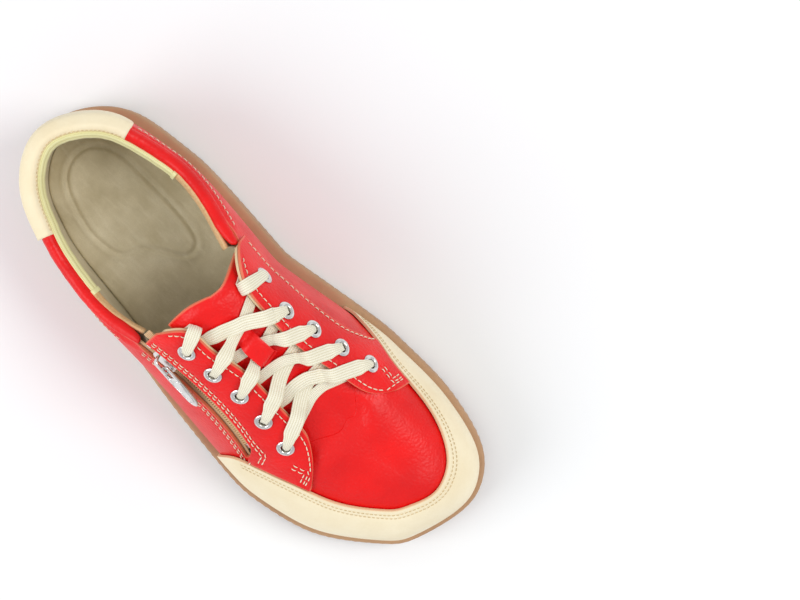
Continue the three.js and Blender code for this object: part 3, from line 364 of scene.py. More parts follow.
def zip_trace():
    trace = []
    guess = tuple(zip_places[2])
    for s in np.arange(chain_length + zip_overrun, -zip_overrun, -2):
        guess = beneath(on_zip(s, 0, 0), guess)
        trace.append(guess)
    trace = np.array(trace)
    return lambda a: np.interp(a, trace[:, 0], trace[:, 1])


zip_t = zip_trace()


def above_zip(distance):
    def edge(a):
        t = zip_t(a)
        slope = (zip_t(a + 0.004) - zip_t(a - 0.004)) / 0.008 * climb(a, t) / stride(a, t)
        return t + distance * np.hypot(1, slope) / climb(a, t)
    return edge


quarter_split = 0.5
zip_closed = 0.374
zip_blend = 0.008


def open_at(a):
    return smooth(a, zip_closed, zip_closed + zip_blend)


def collar_foot(a):
    line = collar_line(a)
    return line - 2.6 / climb(a, line)


def lateral_quarter_top(a):
    beside = mix(quarter_split - 0.006, above_zip(-zip_opening)(a), open_at(a))
    return mix(beside, collar_foot(a), smooth(a, lateral_rear, lateral_collar_front))


def medial_quarter_top(a):
    seam = medial_seam(a) + 5 / climb(a, medial_seam(a))
    return mix(seam, collar_foot(a), smooth(-a, facing_rear - 0.005, -medial_collar_front))


def lateral_facing_low(a):
    return mix(guard_edge(a) + 0.012, above_zip(zip_opening)(a), open_at(a))


def medial_facing_low(a):
    return mix(guard_edge(a) + 0.012, medial_seam(a), smooth(-a, 0.345, 0.36))


# ---------------------------------------------------------------- materials
def nodes_of(name):
    made = bpy.data.materials.new(name)
    made.use_nodes = True
    return made, made.node_tree, made.node_tree.nodes["Principled BSDF"]


class Graph:
    """Adds nodes to a material, with short names for the few kinds used here."""

    def __init__(self, tree):
        self.tree = tree

    def add(self, kind, **values):
        made = self.tree.nodes.new(kind)
        for key, value in values.items():
            if hasattr(made, key):
                setattr(made, key, value)
            else:
                made.inputs[key.replace("_", " ")].default_value = value
        return made

    def link(self, source, target):
        self.tree.links.new(source, target)

    def place(self, scale=(1, 1, 1), source="Object"):
        where = self.add("ShaderNodeTexCoord")
        mapped = self.add("ShaderNodeMapping")
        mapped.inputs["Scale"].default_value = scale
        self.link(where.outputs[source], mapped.inputs["Vector"])
        return mapped.outputs["Vector"]

    def noise(self, vector, scale, detail=4, roughness=0.55):
        made = self.add("ShaderNodeTexNoise")
        made.inputs["Scale"].default_value = scale
        made.inputs["Detail"].default_value = detail
        made.inputs["Roughness"].default_value = roughness
        self.link(vector, made.inputs["Vector"])
        return made.outputs["Fac"]

    def cells(self, vector, scale, feature="F1", randomness=1.0):
        made = self.add("ShaderNodeTexVoronoi", feature=feature)
        made.inputs["Scale"].default_value = scale
        made.inputs["Randomness"].default_value = randomness
        self.link(vector, made.inputs["Vector"])
        return made.outputs["Distance"]

    def ramp(self, value, low, high, start=0.0, end=1.0):
        made = self.add("ShaderNodeMapRange")
        made.inputs["From Min"].default_value = low
        made.inputs["From Max"].default_value = high
        made.inputs["To Min"].default_value = start
        made.inputs["To Max"].default_value = end
        self.link(value, made.inputs["Value"])
        return made.outputs["Result"]

    def maths(self, operation, first, second=None):
        made = self.add("ShaderNodeMath", operation=operation)
        for value, socket in zip((first, second), made.inputs):
            if value is None:
                continue
            if isinstance(value, (int, float)):
                socket.default_value = value
            else:
                self.link(value, socket)
        return made.outputs["Value"]

    def colour(self, factor, first, second):
        made = self.add("ShaderNodeMix", data_type="RGBA")
        self.link(factor, made.inputs["Factor"])
        for value, socket in ((first, made.inputs[6]), (second, made.inputs[7])):
            if isinstance(value, (tuple, list)):
                socket.default_value = (*value[:3], 1)
            else:
                self.link(value, socket)
        return made.outputs[2]

    def bump(self, height, distance, strength=1.0, after=None):
        made = self.add("ShaderNodeBump")
        made.inputs["Strength"].default_value = strength
        made.inputs["Distance"].default_value = distance
        self.link(height, made.inputs["Height"])
        if after is not None:
            self.link(after, made.inputs["Normal"])
        return made.outputs["Normal"]

    def attribute(self, name):
        made = self.add("ShaderNodeAttribute", attribute_name=name)
        return made.outputs["Fac"]


def linear(r, g, b):
    """A screen colour, 0 to 255, as the shader's linear values."""
    shares = [v / 255 for v in (r, g, b)]
    return tuple(v / 12.92 if v <= 0.04045 else ((v + 0.055) / 1.055) ** 2.4 for v in shares)


def leather_look(name, base, deep, worn, roughness, grain, coat):
    made, tree, shader = nodes_of(name)
    g = Graph(tree)
    where = g.place()
    warped = g.add("ShaderNodeVectorMath", operation="ADD")
    wobble = g.add("ShaderNodeTexNoise")
    wobble.inputs["Scale"].default_value = 260
    g.link(where, wobble.inputs["Vector"])
    shift = g.add("ShaderNodeVectorMath", operation="SCALE")
    shift.inputs["Scale"].default_value = 0.0016
    g.link(wobble.outputs["Color"], shift.inputs[0])
    g.link(where, warped.inputs[0])
    g.link(shift.outputs["Vector"], warped.inputs[1])
    warp = warped.outputs["Vector"]
    pebble = g.ramp(g.cells(warp, 820, "SMOOTH_F1"), 0.05, 0.75, 1, 0)
    pores = g.ramp(g.cells(warp, 2100), 0.08, 0.3, 0, 1)
    patches = g.noise(where, 38, 5)
    crease = g.noise(g.place((1, 0.35, 1)), 210, 6, 0.65)
    tone = g.colour(g.ramp(patches, 0.3, 0.7), deep, base)
    # painted shade: the low grain between the pebbles is mixed a little towards the deep colour
    grain_valley_shade = g.maths("MULTIPLY", g.ramp(pebble, 0.0, 0.35, 1, 0), 0.22)
    tone = g.colour(grain_valley_shade, tone, deep)
    tone = g.colour(g.maths("MULTIPLY", g.attribute("rim"), 0.75), tone, worn)
    g.link(tone, shader.inputs["Base Color"])
    g.link(g.ramp(patches, 0.3, 0.7, roughness + 0.07, roughness - 0.05), shader.inputs["Roughness"])
    soft = g.bump(crease, 0.00035 * grain, 0.5)
    grained = g.bump(pebble, 0.00022 * grain, 0.6, soft)
    g.link(g.bump(pores, 0.00006, 0.4, grained), shader.inputs["Normal"])
    shader.inputs["Coat Weight"].default_value = coat
    shader.inputs["Coat Roughness"].default_value = 0.32
    shader.inputs["Specular IOR Level"].default_value = 0.32
    return made


def suede_look(name, base, deep, pale, specks):
    made, tree, shader = nodes_of(name)
    g = Graph(tree)
    where = g.place()
    nap = g.noise(where, 2600, 3, 0.7)
    patches = g.noise(where, 46, 6, 0.6)
    strokes = g.noise(g.place((1, 0.22, 1)), 420, 4, 0.6)
    tone = g.colour(g.ramp(patches, 0.32, 0.68), deep, base)
    tone = g.colour(g.maths("MULTIPLY", g.ramp(strokes, 0.5, 0.75), 0.35), tone, pale)
    tone = g.colour(g.maths("MULTIPLY", g.ramp(nap, 0.35, 0.6, 1, 0), 0.35), tone, deep)
    if specks:
        dots = g.ramp(g.cells(where, 95), 0.03, 0.06, 1, 0)
        some = g.ramp(g.noise(where, 70, 1), 0.55, 0.6)
        tone = g.colour(g.maths("MULTIPLY", g.maths("MULTIPLY", dots, some), 0.8), tone, (0.03, 0.035, 0.03))
    g.link(tone, shader.inputs["Base Color"])
    shader.inputs["Roughness"].default_value = 0.95
    shader.inputs["Specular IOR Level"].default_value = 0.15
    shader.inputs["Sheen Weight"].default_value = 0.25
    shader.inputs["Sheen Roughness"].default_value = 0.5
    soft = g.bump(patches, 0.0009, 0.35)
    g.link(g.bump(nap, 0.00012, 0.7, soft), shader.inputs["Normal"])
    return made


def rubber_look(name, base, deep, scuff):
    made, tree, shader = nodes_of(name)
    g = Graph(tree)
    where = g.place()
    grain = g.noise(where, 1500, 3)
    patches = g.noise(where, 30, 6, 0.65)
    streaks = g.noise(g.place((0.6, 0.6, 3)), 160, 5, 0.7)
    tone = g.colour(g.ramp(patches, 0.3, 0.7), deep, base)
    tone = g.colour(g.maths("MULTIPLY", g.ramp(streaks, 0.58, 0.8), 0.4), tone, scuff)
    g.link(tone, shader.inputs["Base Color"])
    g.link(g.ramp(streaks, 0.3, 0.8, 0.55, 0.8), shader.inputs["Roughness"])
    g.link(g.bump(grain, 0.00008, 0.5, g.bump(streaks, 0.0003, 0.3)), shader.inputs["Normal"])
    return made


def weave_look(name, base, deep, across, along, depth, fuzz=0.4):
    """Woven tape or lace: u counts millimetres across it and v along it."""
    made, tree, shader = nodes_of(name)
    g = Graph(tree)
    where = g.place(source="UV")
    split = g.add("ShaderNodeSeparateXYZ")
    g.link(where, split.inputs["Vector"])
    turn = 2 * math.pi
    ribs = g.maths("SINE", g.maths("MULTIPLY", split.outputs["X"], turn / across))
    slant = g.maths("ADD", g.maths("MULTIPLY", g.maths("ABSOLUTE", ribs), 0.35 * along), split.outputs["Y"])
    picks = g.maths("SINE", g.maths("MULTIPLY", slant, turn / along))
    ribs = g.ramp(ribs, -1, 1)
    picks = g.ramp(picks, -1, 1)
    height = g.maths("ADD", g.maths("MULTIPLY", ribs, 0.7), g.maths("MULTIPLY", picks, 0.3))
    fibres = g.noise(g.place(), 2400, 4, 0.7)
    patches = g.noise(g.place(), 90, 4)
    # painted shade: the weave's low parts between ribs and picks take the deeper colour; the patches after it are
    # random tone
    tone = g.colour(g.ramp(height, 0.05, 0.6), deep, base)
    tone = g.colour(g.maths("MULTIPLY", g.ramp(patches, 0.45, 0.75), 0.3), tone, deep)
    g.link(tone, shader.inputs["Base Color"])
    shader.inputs["Roughness"].default_value = 0.9
    shader.inputs["Specular IOR Level"].default_value = 0.2
    shader.inputs["Sheen Weight"].default_value = 0.3
    fuzzy = g.bump(fibres, 0.0002, fuzz)
    g.link(g.bump(height, depth * MM, 0.9, fuzzy), shader.inputs["Normal"])
    return made


def metal_look(name, base, roughness, stain):
    made, tree, shader = nodes_of(name)
    g = Graph(tree)
    where = g.place()
    patches = g.noise(where, 240, 5, 0.6)
    lines = g.noise(g.place((1, 12, 1)), 900, 3)
    g.link(g.colour(g.ramp(patches, 0.5, 0.8), base, stain), shader.inputs["Base Color"])
    shader.inputs["Metallic"].default_value = 1
    g.link(g.ramp(patches, 0.3, 0.75, roughness, roughness + 0.18), shader.inputs["Roughness"])
    g.link(g.bump(lines, 0.00001, 0.15), shader.inputs["Normal"])
    return made


def plain_look(name, base, deep, roughness, scale, depth):
    """Board, thread and moulded plastic: a mottled colour with a fine bump."""
    made, tree, shader = nodes_of(name)
    g = Graph(tree)
    where = g.place()
    mottle = g.noise(where, scale, 5, 0.65)
    g.link(g.colour(g.ramp(mottle, 0.3, 0.7), deep, base), shader.inputs["Base Color"])
    g.link(g.ramp(mottle, 0.3, 0.7, roughness + 0.05, roughness - 0.05), shader.inputs["Roughness"])
    g.link(g.bump(mottle, depth * MM, 0.6), shader.inputs["Normal"])
    return made


red = leather_look("red_leather", linear(240, 16, 14), linear(214, 8, 10), linear(232, 150, 112), 0.4, 1.0, 0.04)
cream = leather_look("cream_leather", linear(247, 235, 204), linear(238, 222, 186), linear(226, 192, 142),
                     0.5, 0.6, 0.05)
red_edge = plain_look("cut_edge", linear(228, 190, 140), linear(206, 160, 112), 0.85, 900, 0.1)
suede = suede_look("suede", linear(222, 211, 182), linear(196, 184, 152), linear(234, 225, 200), False)
footbed_suede = suede_look("footbed_suede", linear(224, 213, 184), linear(192, 179, 146), linear(238, 230, 206),
                           True)
rubber = rubber_look("sole_rubber", linear(190, 150, 112), linear(170, 130, 96), linear(206, 172, 136))
binding_look = weave_look("binding", linear(238, 233, 178), linear(214, 205, 140), 1.1, 0.9, 0.15)
tape_look = weave_look("zip_tape", linear(226, 190, 144), linear(188, 148, 104), 0.8, 0.7, 0.12)
coil_look = plain_look("coil_nylon", linear(232, 198, 150), linear(204, 166, 120), 0.4, 800, 0.05)
lace_look = weave_look("lace_cotton", linear(245, 240, 220), linear(218, 208, 176), 1.15, 0.8, 0.2, 0.7)
thread_look = plain_look("thread", linear(244, 236, 214), linear(214, 196, 160), 0.7, 1800, 0.12)
cream_thread = plain_look("cream_thread", linear(224, 202, 158), linear(196, 170, 124), 0.75, 1800, 0.12)
board_look = plain_look("board", linear(176, 146, 104), linear(150, 120, 82), 0.9, 400, 0.2)
plastic_look = plain_look("aglet_film", linear(236, 230, 214), linear(216, 208, 188), 0.3, 300, 0.03)
nickel = metal_look("nickel", (0.74, 0.73, 0.71), 0.16, (0.5, 0.48, 0.45))
steel = metal_look("steel", (0.5, 0.5, 0.51), 0.35, (0.32, 0.28, 0.24))


# ---------------------------------------------------------------- mesh making
def add(name, points, faces, look, stands_for=(), body="shoe", uv=None, rim=None, weld=0.0, bevel=0.0):
    """A closed mesh from points in millimetres; it rides on a body and may stand for CAD nodes."""
    points = np.asarray(points, float).reshape(-1, 3)
    mesh = bpy.data.meshes.new(name)
    mesh.from_pydata((points * MM).tolist(), [], faces.tolist() if isinstance(faces, np.ndarray) else faces)
    if uv is not None:
        layer = mesh.uv_layers.new(name="UVMap")
        corners = np.empty(len(mesh.loops), int)
        mesh.loops.foreach_get("vertex_index", corners)
        layer.data.foreach_set("uv", np.asarray(uv, float).reshape(-1, 2)[corners].ravel())
    if rim is not None:
        mark = mesh.attributes.new("rim", "FLOAT", "POINT")
        mark.data.foreach_set("value", np.asarray(rim, float).ravel())
    shape = bmesh.new()
    shape.from_mesh(mesh)
    if weld:
        bmesh.ops.remove_doubles(shape, verts=shape.verts, dist=weld * MM)
    bmesh.ops.recalc_face_normals(shape, faces=shape.faces)
    if shape.calc_volume(signed=True) < 0:
        bmesh.ops.reverse_faces(shape, faces=shape.faces)
    for face in shape.faces:
        face.smooth = True
    shape.to_mesh(mesh)
    shape.free()
    mesh.materials.append(look)
    made = bpy.data.objects.new(name, mesh)
    bpy.context.scene.collection.objects.link(made)
    if bevel:
        rounding = made.modifiers.new("edge", "BEVEL")
        rounding.width = bevel * MM
        rounding.segments = 3
        rounding.limit_method = "ANGLE"
        rounding.angle_limit = math.radians(50)
    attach(made, body)
    if stands_for:
        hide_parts(*stands_for)
    return made


def grid_faces(n, m, first=0, flip=False, close=False):
    """Quads over an n by m grid of points; close joins the last column to the first."""
    i, j = np.meshgrid(np.arange(n - 1), np.arange(m if close else m - 1), indexing="ij")
    k = (j + 1) % m
    quads = np.stack([i * m + j, (i + 1) * m + j, (i + 1) * m + k, i * m + k], -1).reshape(-1, 4) + first
    return quads[:, ::-1] if flip else quads


def shell(name, a, t, outer, inner, look, stands_for=(), relief=None, weld=0.0):
    """A sheet of leather over a grid of (a, t), with rounded edges."""
    n, m = a.shape
    o = np.full(a.shape, float(outer))
    under = last(a, t)
    out = normal(a, t)
    if relief is not None:
        o = o + relief(under + out * outer, a, t)
    points = np.vstack([(under + out * o[..., None]).reshape(-1, 3), (under + out * inner).reshape(-1, 3)])
    other = n * m
    faces = [grid_faces(n, m), grid_faces(n, m, other, True)]
    border = np.concatenate([
        np.arange(m), np.arange(1, n) * m + m - 1, (n - 1) * m + np.arange(m - 2, -1, -1),
        np.arange(n - 2, 0, -1) * m])
    ahead = np.roll(border, -1)
    faces.append(np.stack([border, ahead, ahead + other, border + other], -1))
    edge = np.minimum(np.minimum(np.arange(n), np.arange(n)[::-1])[:, None],
                      np.minimum(np.arange(m), np.arange(m)[::-1])[None, :])
    worn = np.concatenate([np.where(edge < 1, 0.75, 0).ravel(), np.ones(other)])
    return add(name, points, np.vstack(faces), look, stands_for, rim=worn, weld=weld,
               bevel=0.36 * abs(outer - inner))


def field(a, low, high, rows):
    """The grid of a and t between two edges."""
    share = np.linspace(0, 1, rows + 1)[None, :]
    a = np.asarray(a, float)
    t = mix(np.asarray(low, float)[:, None], np.asarray(high, float)[:, None], share)
    return np.broadcast_to(a[:, None], t.shape).copy(), t


def run(start, end, step=1.1, extra=()):
    """Places along a about step millimetres apart, with a few extra ones."""
    count = max(int(abs(end - start) * MM_PER_A / step), 2)
    places = np.linspace(start, end, count + 1)
    return np.unique(np.concatenate([places, np.array(extra, float)])) if len(extra) else places


def loft(name, rings, look, stands_for=(), body="shoe", uv=None, rim=None):
    """A closed body through rings of points, with its ends filled."""
    rings = np.asarray(rings, float)
    n, m = rings.shape[:2]
    faces = grid_faces(n, m, close=True).tolist()
    faces.append(list(range(m)))
    faces.append(list(range((n - 1) * m, n * m)))
    return add(name, rings, faces, look, stands_for, body=body, uv=uv, rim=rim)


# ---------------------------------------------------------------- seams and stitches
def resample(path, pitch):
    """Points pitch apart along a polyline, with directions."""
    steps = np.linalg.norm(np.diff(path, axis=0), axis=1)
    where = np.concatenate([[0], np.cumsum(steps)])
    count = max(int(where[-1] / pitch), 1)
    s = (np.arange(count) + 0.5) * where[-1] / count
    place = np.stack([np.interp(s, where, path[:, k]) for k in range(3)], -1)
    after = np.stack([np.interp(s + 0.4, where, path[:, k]) for k in range(3)], -1)
    before = np.stack([np.interp(s - 0.4, where, path[:, k]) for k in range(3)], -1)
    return place, unit(after - before), s


def stitch_row(name, a, t, o, look=None, pitch=stitch_pitch, length=0.8, radius=0.27, rise=0.16):
    """A row of separate stitches over a seam, each dipping into the leather at both ends."""
    a, t = np.asarray(a, float), np.asarray(t, float)
    path = lift(a, t, np.broadcast_to(o, a.shape))
    outs = normal(a, t)
    place, along, s = resample(path, pitch)
    steps = np.concatenate([[0], np.cumsum(np.linalg.norm(np.diff(path, axis=0), axis=1))])
    out = unit(np.stack([np.interp(s, steps, outs[:, k]) for k in range(3)], -1))
    side = unit(np.cross(out, along))
    out = np.cross(along, side)
    tilt = rng.normal(0, 0.05, len(place))[:, None]
    along, side = unit(along + side * tilt), unit(side - along * tilt)
    rows, sides = 7, 8
    half = pitch * length / 2
    f = np.linspace(-1, 1, rows)
    angles = np.arange(sides) * 2 * math.pi / sides
    width = radius * np.maximum(1 - f ** 4, 0.12) ** 0.5
    level = rise * (1 - f ** 2) - 0.28 * f ** 6
    points = (place[:, None, None] + along[:, None, None] * (f * half)[None, :, None, None]
              + side[:, None, None] * (np.cos(angles)[None, :] * width[:, None])[None, ..., None]
              + out[:, None, None] * (np.sin(angles)[None, :] * width[:, None] * 0.8
                                      + level[:, None])[None, ..., None])
    block = rows * sides
    one = grid_faces(rows, sides, close=True)
    faces = (one[None] + (np.arange(len(place)) * block)[:, None, None]).reshape(-1, 4).tolist()
    for k in range(len(place)):
        faces.append(list(range(k * block, k * block + sides)))
        faces.append(list(range((k + 1) * block - sides, (k + 1) * block)))
    return add(name, points, faces, look or thread_look)


def shifted(a, t, distance, sign=1):
    """A line moved by some millimetres across itself, to its right for sign 1."""
    a, t = np.asarray(a, float), np.asarray(t, float)
    wide = stride(a, t)
    tall = climb(a, t)
    da, dt = np.gradient(a) * wide, np.gradient(t) * tall
    size = np.hypot(da, dt)
    da, dt = da / size, dt / size
    return a + dt * distance * sign / wide, t - da * distance * sign / tall


def polyline(corners, count=160, rounding=5):
    """A smooth line through (a, t) corners."""
    corners = np.array(corners, float)
    steps = np.concatenate([[0], np.cumsum(np.hypot(np.diff(corners[:, 0]) * MM_PER_A,
                                                    np.diff(corners[:, 1]) * MM_PER_T))])
    s = np.linspace(0, steps[-1], count)
    line = np.stack([np.interp(s, steps, corners[:, k]) for k in (0, 1)], -1)
    padded = np.vstack([np.repeat(line[:1], rounding, 0), line, np.repeat(line[-1:], rounding, 0)])
    kernel = np.ones(2 * rounding + 1) / (2 * rounding + 1)
    return tuple(np.convolve(padded[:, k], kernel, "valid") for k in (0, 1))


seams = []


def seam(name, a, t, o, **options):
    """A stitched row: it also presses a groove into the leather around it."""
    a, t = np.asarray(a, float), np.asarray(t, float)
    seams.append((name, a, t, o, options))


def grooves(depth=0.3, width=0.75):
    """Lowers a surface near the seams."""
    tree = KDTree(sum(len(s[1]) * 3 for s in seams))
    count = 0
    for _, a, t, o, _ in seams:
        dense = np.linspace(0, len(a) - 1, len(a) * 3)
        index = np.arange(len(a))
        level = np.interp(dense, index, np.broadcast_to(o, a.shape))
        line = lift(np.interp(dense, index, a), np.interp(dense, index, t), level)
        for point in line:
            tree.insert(Vector(point), count)
            count += 1
    tree.balance()

    def relief(points, a, t):
        flat = points.reshape(-1, 3)
        far = np.array([tree.find(Vector(p))[2] for p in flat])
        return -depth * np.exp(-(far / width) ** 2).reshape(a.shape)
    return relief


# ---------------------------------------------------------------- leather of the upper
medial_eyelets = [[-0.541, 0.52], [-0.482, 0.655], [-0.43, 0.64], [-0.377, 0.618], [-0.325, 0.565]]
lateral_eyelets = [[0.558, 0.692], [0.504, 0.707], [0.448, 0.724], [0.391, 0.713], [0.334, 0.68]]

# Rows of stitches: along the throat, round the zip, down to the toe guard and under the collars.
throat_margin = 3.1
throat_a = np.linspace(-0.583, -0.276, 220)
seam("stitches_medial_throat", throat_a,
     medial_throat(throat_a) - throat_margin / climb(throat_a, medial_throat(throat_a)),
     overlay_top)
throat_a = np.linspace(0.598, 0.277, 220)
seam("stitches_lateral_throat", throat_a,
     lateral_throat(throat_a) - throat_margin / climb(throat_a, lateral_throat(throat_a)), overlay_top)
for side in (-1, 1):
    edge_a = side * (facing_tab + throat_margin / MM_PER_A)
    name = "medial" if side < 0 else "lateral"
    top = float((medial_throat if side < 0 else lateral_throat)(edge_a)) - 0.035
    low = float(guard_edge(edge_a)) + 0.03
    if top - low > 0.05:
        seam("stitches_%s_tab" % name, *polyline([[edge_a, top], [edge_a + side * 0.002, low]], 30, 2), overlay_top)
    box_t = float(guard_edge(edge_a)) + 0.1
    for k in range(2):
        corner_a = edge_a + side * (0.0055 + 0.006 * k)
        level = box_t + 0.026 * (1 - k)
        seam("stitches_%s_box_%d" % (name, k + 1), *polyline(
            [[corner_a, low], [corner_a, level], [edge_a + side * 0.037, level - 0.02]], 60, 2), overlay_top)
outer_a = np.linspace(-0.59, -0.352, 150)
outer_t = medial_facing_low(outer_a)
seam("stitches_medial_outer", outer_a, outer_t + 2.2 / climb(outer_a, outer_t), overlay_top)

def beside_zip(a, distance):
    return np.polyval(np.polyfit(a, above_zip(distance)(a), 5), a)


zip_a = np.linspace(0.606, zip_closed + 0.004, 220)
for k, distance in enumerate((2.4, 4.3)):
    above = beside_zip(zip_a, zip_opening + distance)
    below = beside_zip(zip_a, -zip_opening - distance)
    seam("stitches_zip_lower_%d" % (k + 1), zip_a, below, 0)
    # the upper row turns the corner at the zip's toe end and runs down to meet the lower one
    wide = float(stride(zip_closed, above[-1]))
    corner_a = zip_closed - (1.2 + distance) / wide
    split = float(lateral_facing_low(corner_a)) + 0.03
    down_a, down_t = polyline([[zip_a[-30], above[-30]], [zip_a[-12], above[-12]], [corner_a, above[-1] - 0.004],
                               [corner_a - 0.001, max(split, above[-1] - 0.12)]], 60, 4)
    seam("stitches_zip_upper_%d" % (k + 1), np.concatenate([zip_a[:-32], down_a]),
         np.concatenate([above[:-32], down_t]), overlay_top)
drop_a = 0.372
seam("stitches_zip_drop", *polyline([[drop_a, float(above_zip(-3)(drop_a))], [drop_a, guard_edge(drop_a) + 0.02]],
                                    24, 2), overlay_top)
for name, (start, end), share in (("medial", (-0.826, -0.618), -6.6), ("lateral", (0.64, 0.814), -6.6)):
    under_a = np.linspace(start, end, 120)
    line = collar_line(under_a)
    seam("stitches_%s_collar" % name, under_a, line + share / climb(under_a, line), 0)
guard_a = np.linspace(guard_from + 0.022, guard_to - 0.03, 400)
guard_t = np.maximum(guard_edge(guard_a), overlay_foot(guard_a) + 0.03)
for k, distance in enumerate((2.6, 4.6)):
    sa, st = shifted(guard_a, guard_t, distance)
    keep = st > overlay_foot(sa) + 0.03
    seam("stitches_guard_%d" % (k + 1), sa[keep], st[keep], overlay_top, look=cream_thread, pitch=2.0, length=0.7,
         radius=0.2, rise=0.02)
cap_a = np.linspace(cap_lateral + 0.006, 2 + cap_medial - 0.006, 300)
cap_drop = graph([[0, 6.5], [0.04, 12], [0.1, 18], [0.18, 23], [0.348, 25]])
cap_line = collar_line(cap_a)
from_end = np.minimum(cap_a - cap_lateral, 2 + cap_medial - cap_a)
seam("stitches_heel_cap", cap_a, cap_line - (cap_drop(from_end) - 2.0) / climb(cap_a, cap_line), overlay_top,
     look=cream_thread, pitch=2.6, length=0.7, radius=0.24, rise=0.05)
for name, a, t, o, options in seams:
    stitch_row(name, a, t, o, **options)
relief = grooves()


def skin_folds(a, t):
    """Slight waves where the foot bends the leather, behind the toe."""
    x = np.abs(wrap(np.where(t > 1, -a, a)))
    reach = bell(x, 0.33, 0.05) * bell(np.where(t > 1, 2 - t, t), 0.25, 0.25)
    return 0.35 * reach * np.sin(x * MM_PER_A / 3.1 + 6 * t)


def pressed(points, a, t):
    return relief(points, a, t) + skin_folds(a, t)


def tucked(points, a, t):
    """The quarters' top edges sink under the collar rolls."""
    line = collar_line(a[:, 0])[:, None]
    up = (t - line) * climb(a[:, 0], line[:, 0])[:, None]
    zone = smooth(np.abs(wrap(a)), 0.6, 0.64)
    return pressed(points, a, t) - 1.5 * zone * smooth(up, -6.5, -2.6)


def vamp_reach(t):
    return mix(vamp_side, vamp_throat, smooth(np.minimum(t, 2 - t), 0.72, 0.97))


def toe_cap(name, reach, outer, thickness, look, stands_for, columns, rows, ease=None, drop=0.0):
    """A cap over the toe: a from the toe back to reach(t), t from one wall over the ridge to the other."""
    share_t = np.linspace(-1, 1, 2 * rows + 1)
    share_a = np.linspace(0, 1, columns + 1)
    a = np.zeros((columns + 1, 2 * rows + 1))
    t = np.zeros_like(a)
    for _ in range(4):
        low = leather_foot(np.where(share_t[None, :] > 0, -a, a))
        rise = mix(low, 1, 1 - np.abs(share_t[None, :]))
        t = np.where(share_t[None, :] > 0, 2 - rise, rise)
        a = share_a[:, None] * reach(t)
    n, m = a.shape
    under = last(a, t)
    out = normal(a, t)
    o = outer + (ease(under + out * outer, a, t) if ease else 0)
    rise = np.minimum(t, 2 - t)
    fall = drop * smooth(a, reach(t) - 0.05, reach(t)) * smooth(rise, 0.62, 0.72)
    top = np.broadcast_to(o, a.shape) - fall
    low = outer - thickness - fall * (1 - 0.6 / max(drop, 0.6))
    points = np.vstack([(under + out * top[..., None]).reshape(-1, 3),
                        (under + out * low[..., None]).reshape(-1, 3)])
    other = n * m
    border = np.concatenate([np.arange(n) * m, (n - 1) * m + np.arange(1, m), np.arange(n - 2, -1, -1) * m + m - 1])
    ahead = border[1:]
    border = border[:-1]
    faces = [grid_faces(n, m), grid_faces(n, m, other, True),
             np.stack([border, ahead, ahead + other, border + other], -1)]
    made = add(name, points, np.vstack(faces), look, stands_for, weld=0.004, bevel=0.4)
    # the crease along the ridge is smoothed away from the edges
    group = made.vertex_groups.new(name="middle")
    spots = np.array([v.co for v in made.data.vertices]) / MM
    border_tree = KDTree(len(border))
    for k, place in enumerate(points[border]):
        border_tree.insert(Vector(place), k)
    border_tree.balance()
    for k, place in enumerate(spots):
        far = border_tree.find(Vector(place))[2]
        if far > 3:
            group.add([k], min((far - 3) / 8, 1), "REPLACE")
    softening = made.modifiers.new("soft", "SMOOTH")
    softening.factor = 0.5
    softening.iterations = 60
    softening.vertex_group = "middle"
    made.modifiers.move(len(made.modifiers) - 1, 0)
    return made


def straight(value):
    return lambda t: np.full(np.shape(t), float(value))


toe_cap("Vamp", vamp_reach, 0, leather, red, ["vamp"], 92, 66, pressed, 3.3)
toe_cap("VampLining", straight(lining_split), lining_top, lining_thickness, suede, ["vamp_lining"], 40, 24)

guard_places = run(guard_from, guard_to, 0.9)
serration = 0.25 * np.sin(guard_places * MM_PER_A * 2 * math.pi / 2.0)
guard_high = np.maximum(guard_edge(guard_places), overlay_foot(guard_places) + 0.03)
guard_high = guard_high + serration / MM_PER_A
a, t = field(guard_places, overlay_foot(guard_places), guard_high, 44)
shell("ToeGuard", a, t, overlay_top, overlay_base, cream, ["toe_guard"], relief)

quarter_rear = 1 - gap_along / 2
places = run(quarter_front, quarter_rear)
a, t = field(places, leather_foot(places), lateral_quarter_top(places), 52)
shell("LateralQuarter", a, t, 0, -leather, red, ["lateral_quarter"], tucked)
a, t = field(-places[::-1], leather_foot(-places[::-1]), medial_quarter_top(-places[::-1]), 52)
shell("MedialQuarter", a, t, 0, -leather, red, ["medial_quarter"], tucked)


def standing(a, t, o):
    """The frame of a fitting that stands on the last."""
    out = Vector(normal(a, t))
    turn = Vector((0, 0, 1)).rotation_difference(out).to_matrix().to_4x4()
    return Matrix.Translation(Vector(lift(a, t, o)) * MM) @ turn


def drill(sheet, bores, radius):
    """Cuts round holes through a sheet of leather."""
    shape = bmesh.new()
    for a, t in bores:
        made = bmesh.ops.create_cone(shape, cap_ends=True, segments=40, radius1=radius * MM, radius2=radius * MM,
                                     depth=12 * MM)
        bmesh.ops.transform(shape, matrix=standing(a, t, 0), verts=made["verts"])
    mesh = bpy.data.meshes.new("bores")
    shape.to_mesh(mesh)
    shape.free()
    tool = bpy.data.objects.new("bores", mesh)
    bpy.context.scene.collection.objects.link(tool)
    cutting = sheet.modifiers.new("bores", "BOOLEAN")
    cutting.operation = "DIFFERENCE"
    cutting.object = tool
    cutting.solver = "EXACT"
    sheet.modifiers.move(len(sheet.modifiers) - 1, 0)
    graph_now = bpy.context.evaluated_depsgraph_get()
    rounding = sheet.modifiers.get("edge")
    if rounding:
        rounding.show_viewport = False
    graph_now.update()
    carved = bpy.data.meshes.new_from_object(sheet.evaluated_get(graph_now))
    sheet.modifiers.remove(cutting)
    sheet.data = carved
    if rounding:
        rounding.show_viewport = True
    bpy.data.objects.remove(tool)
    return sheet


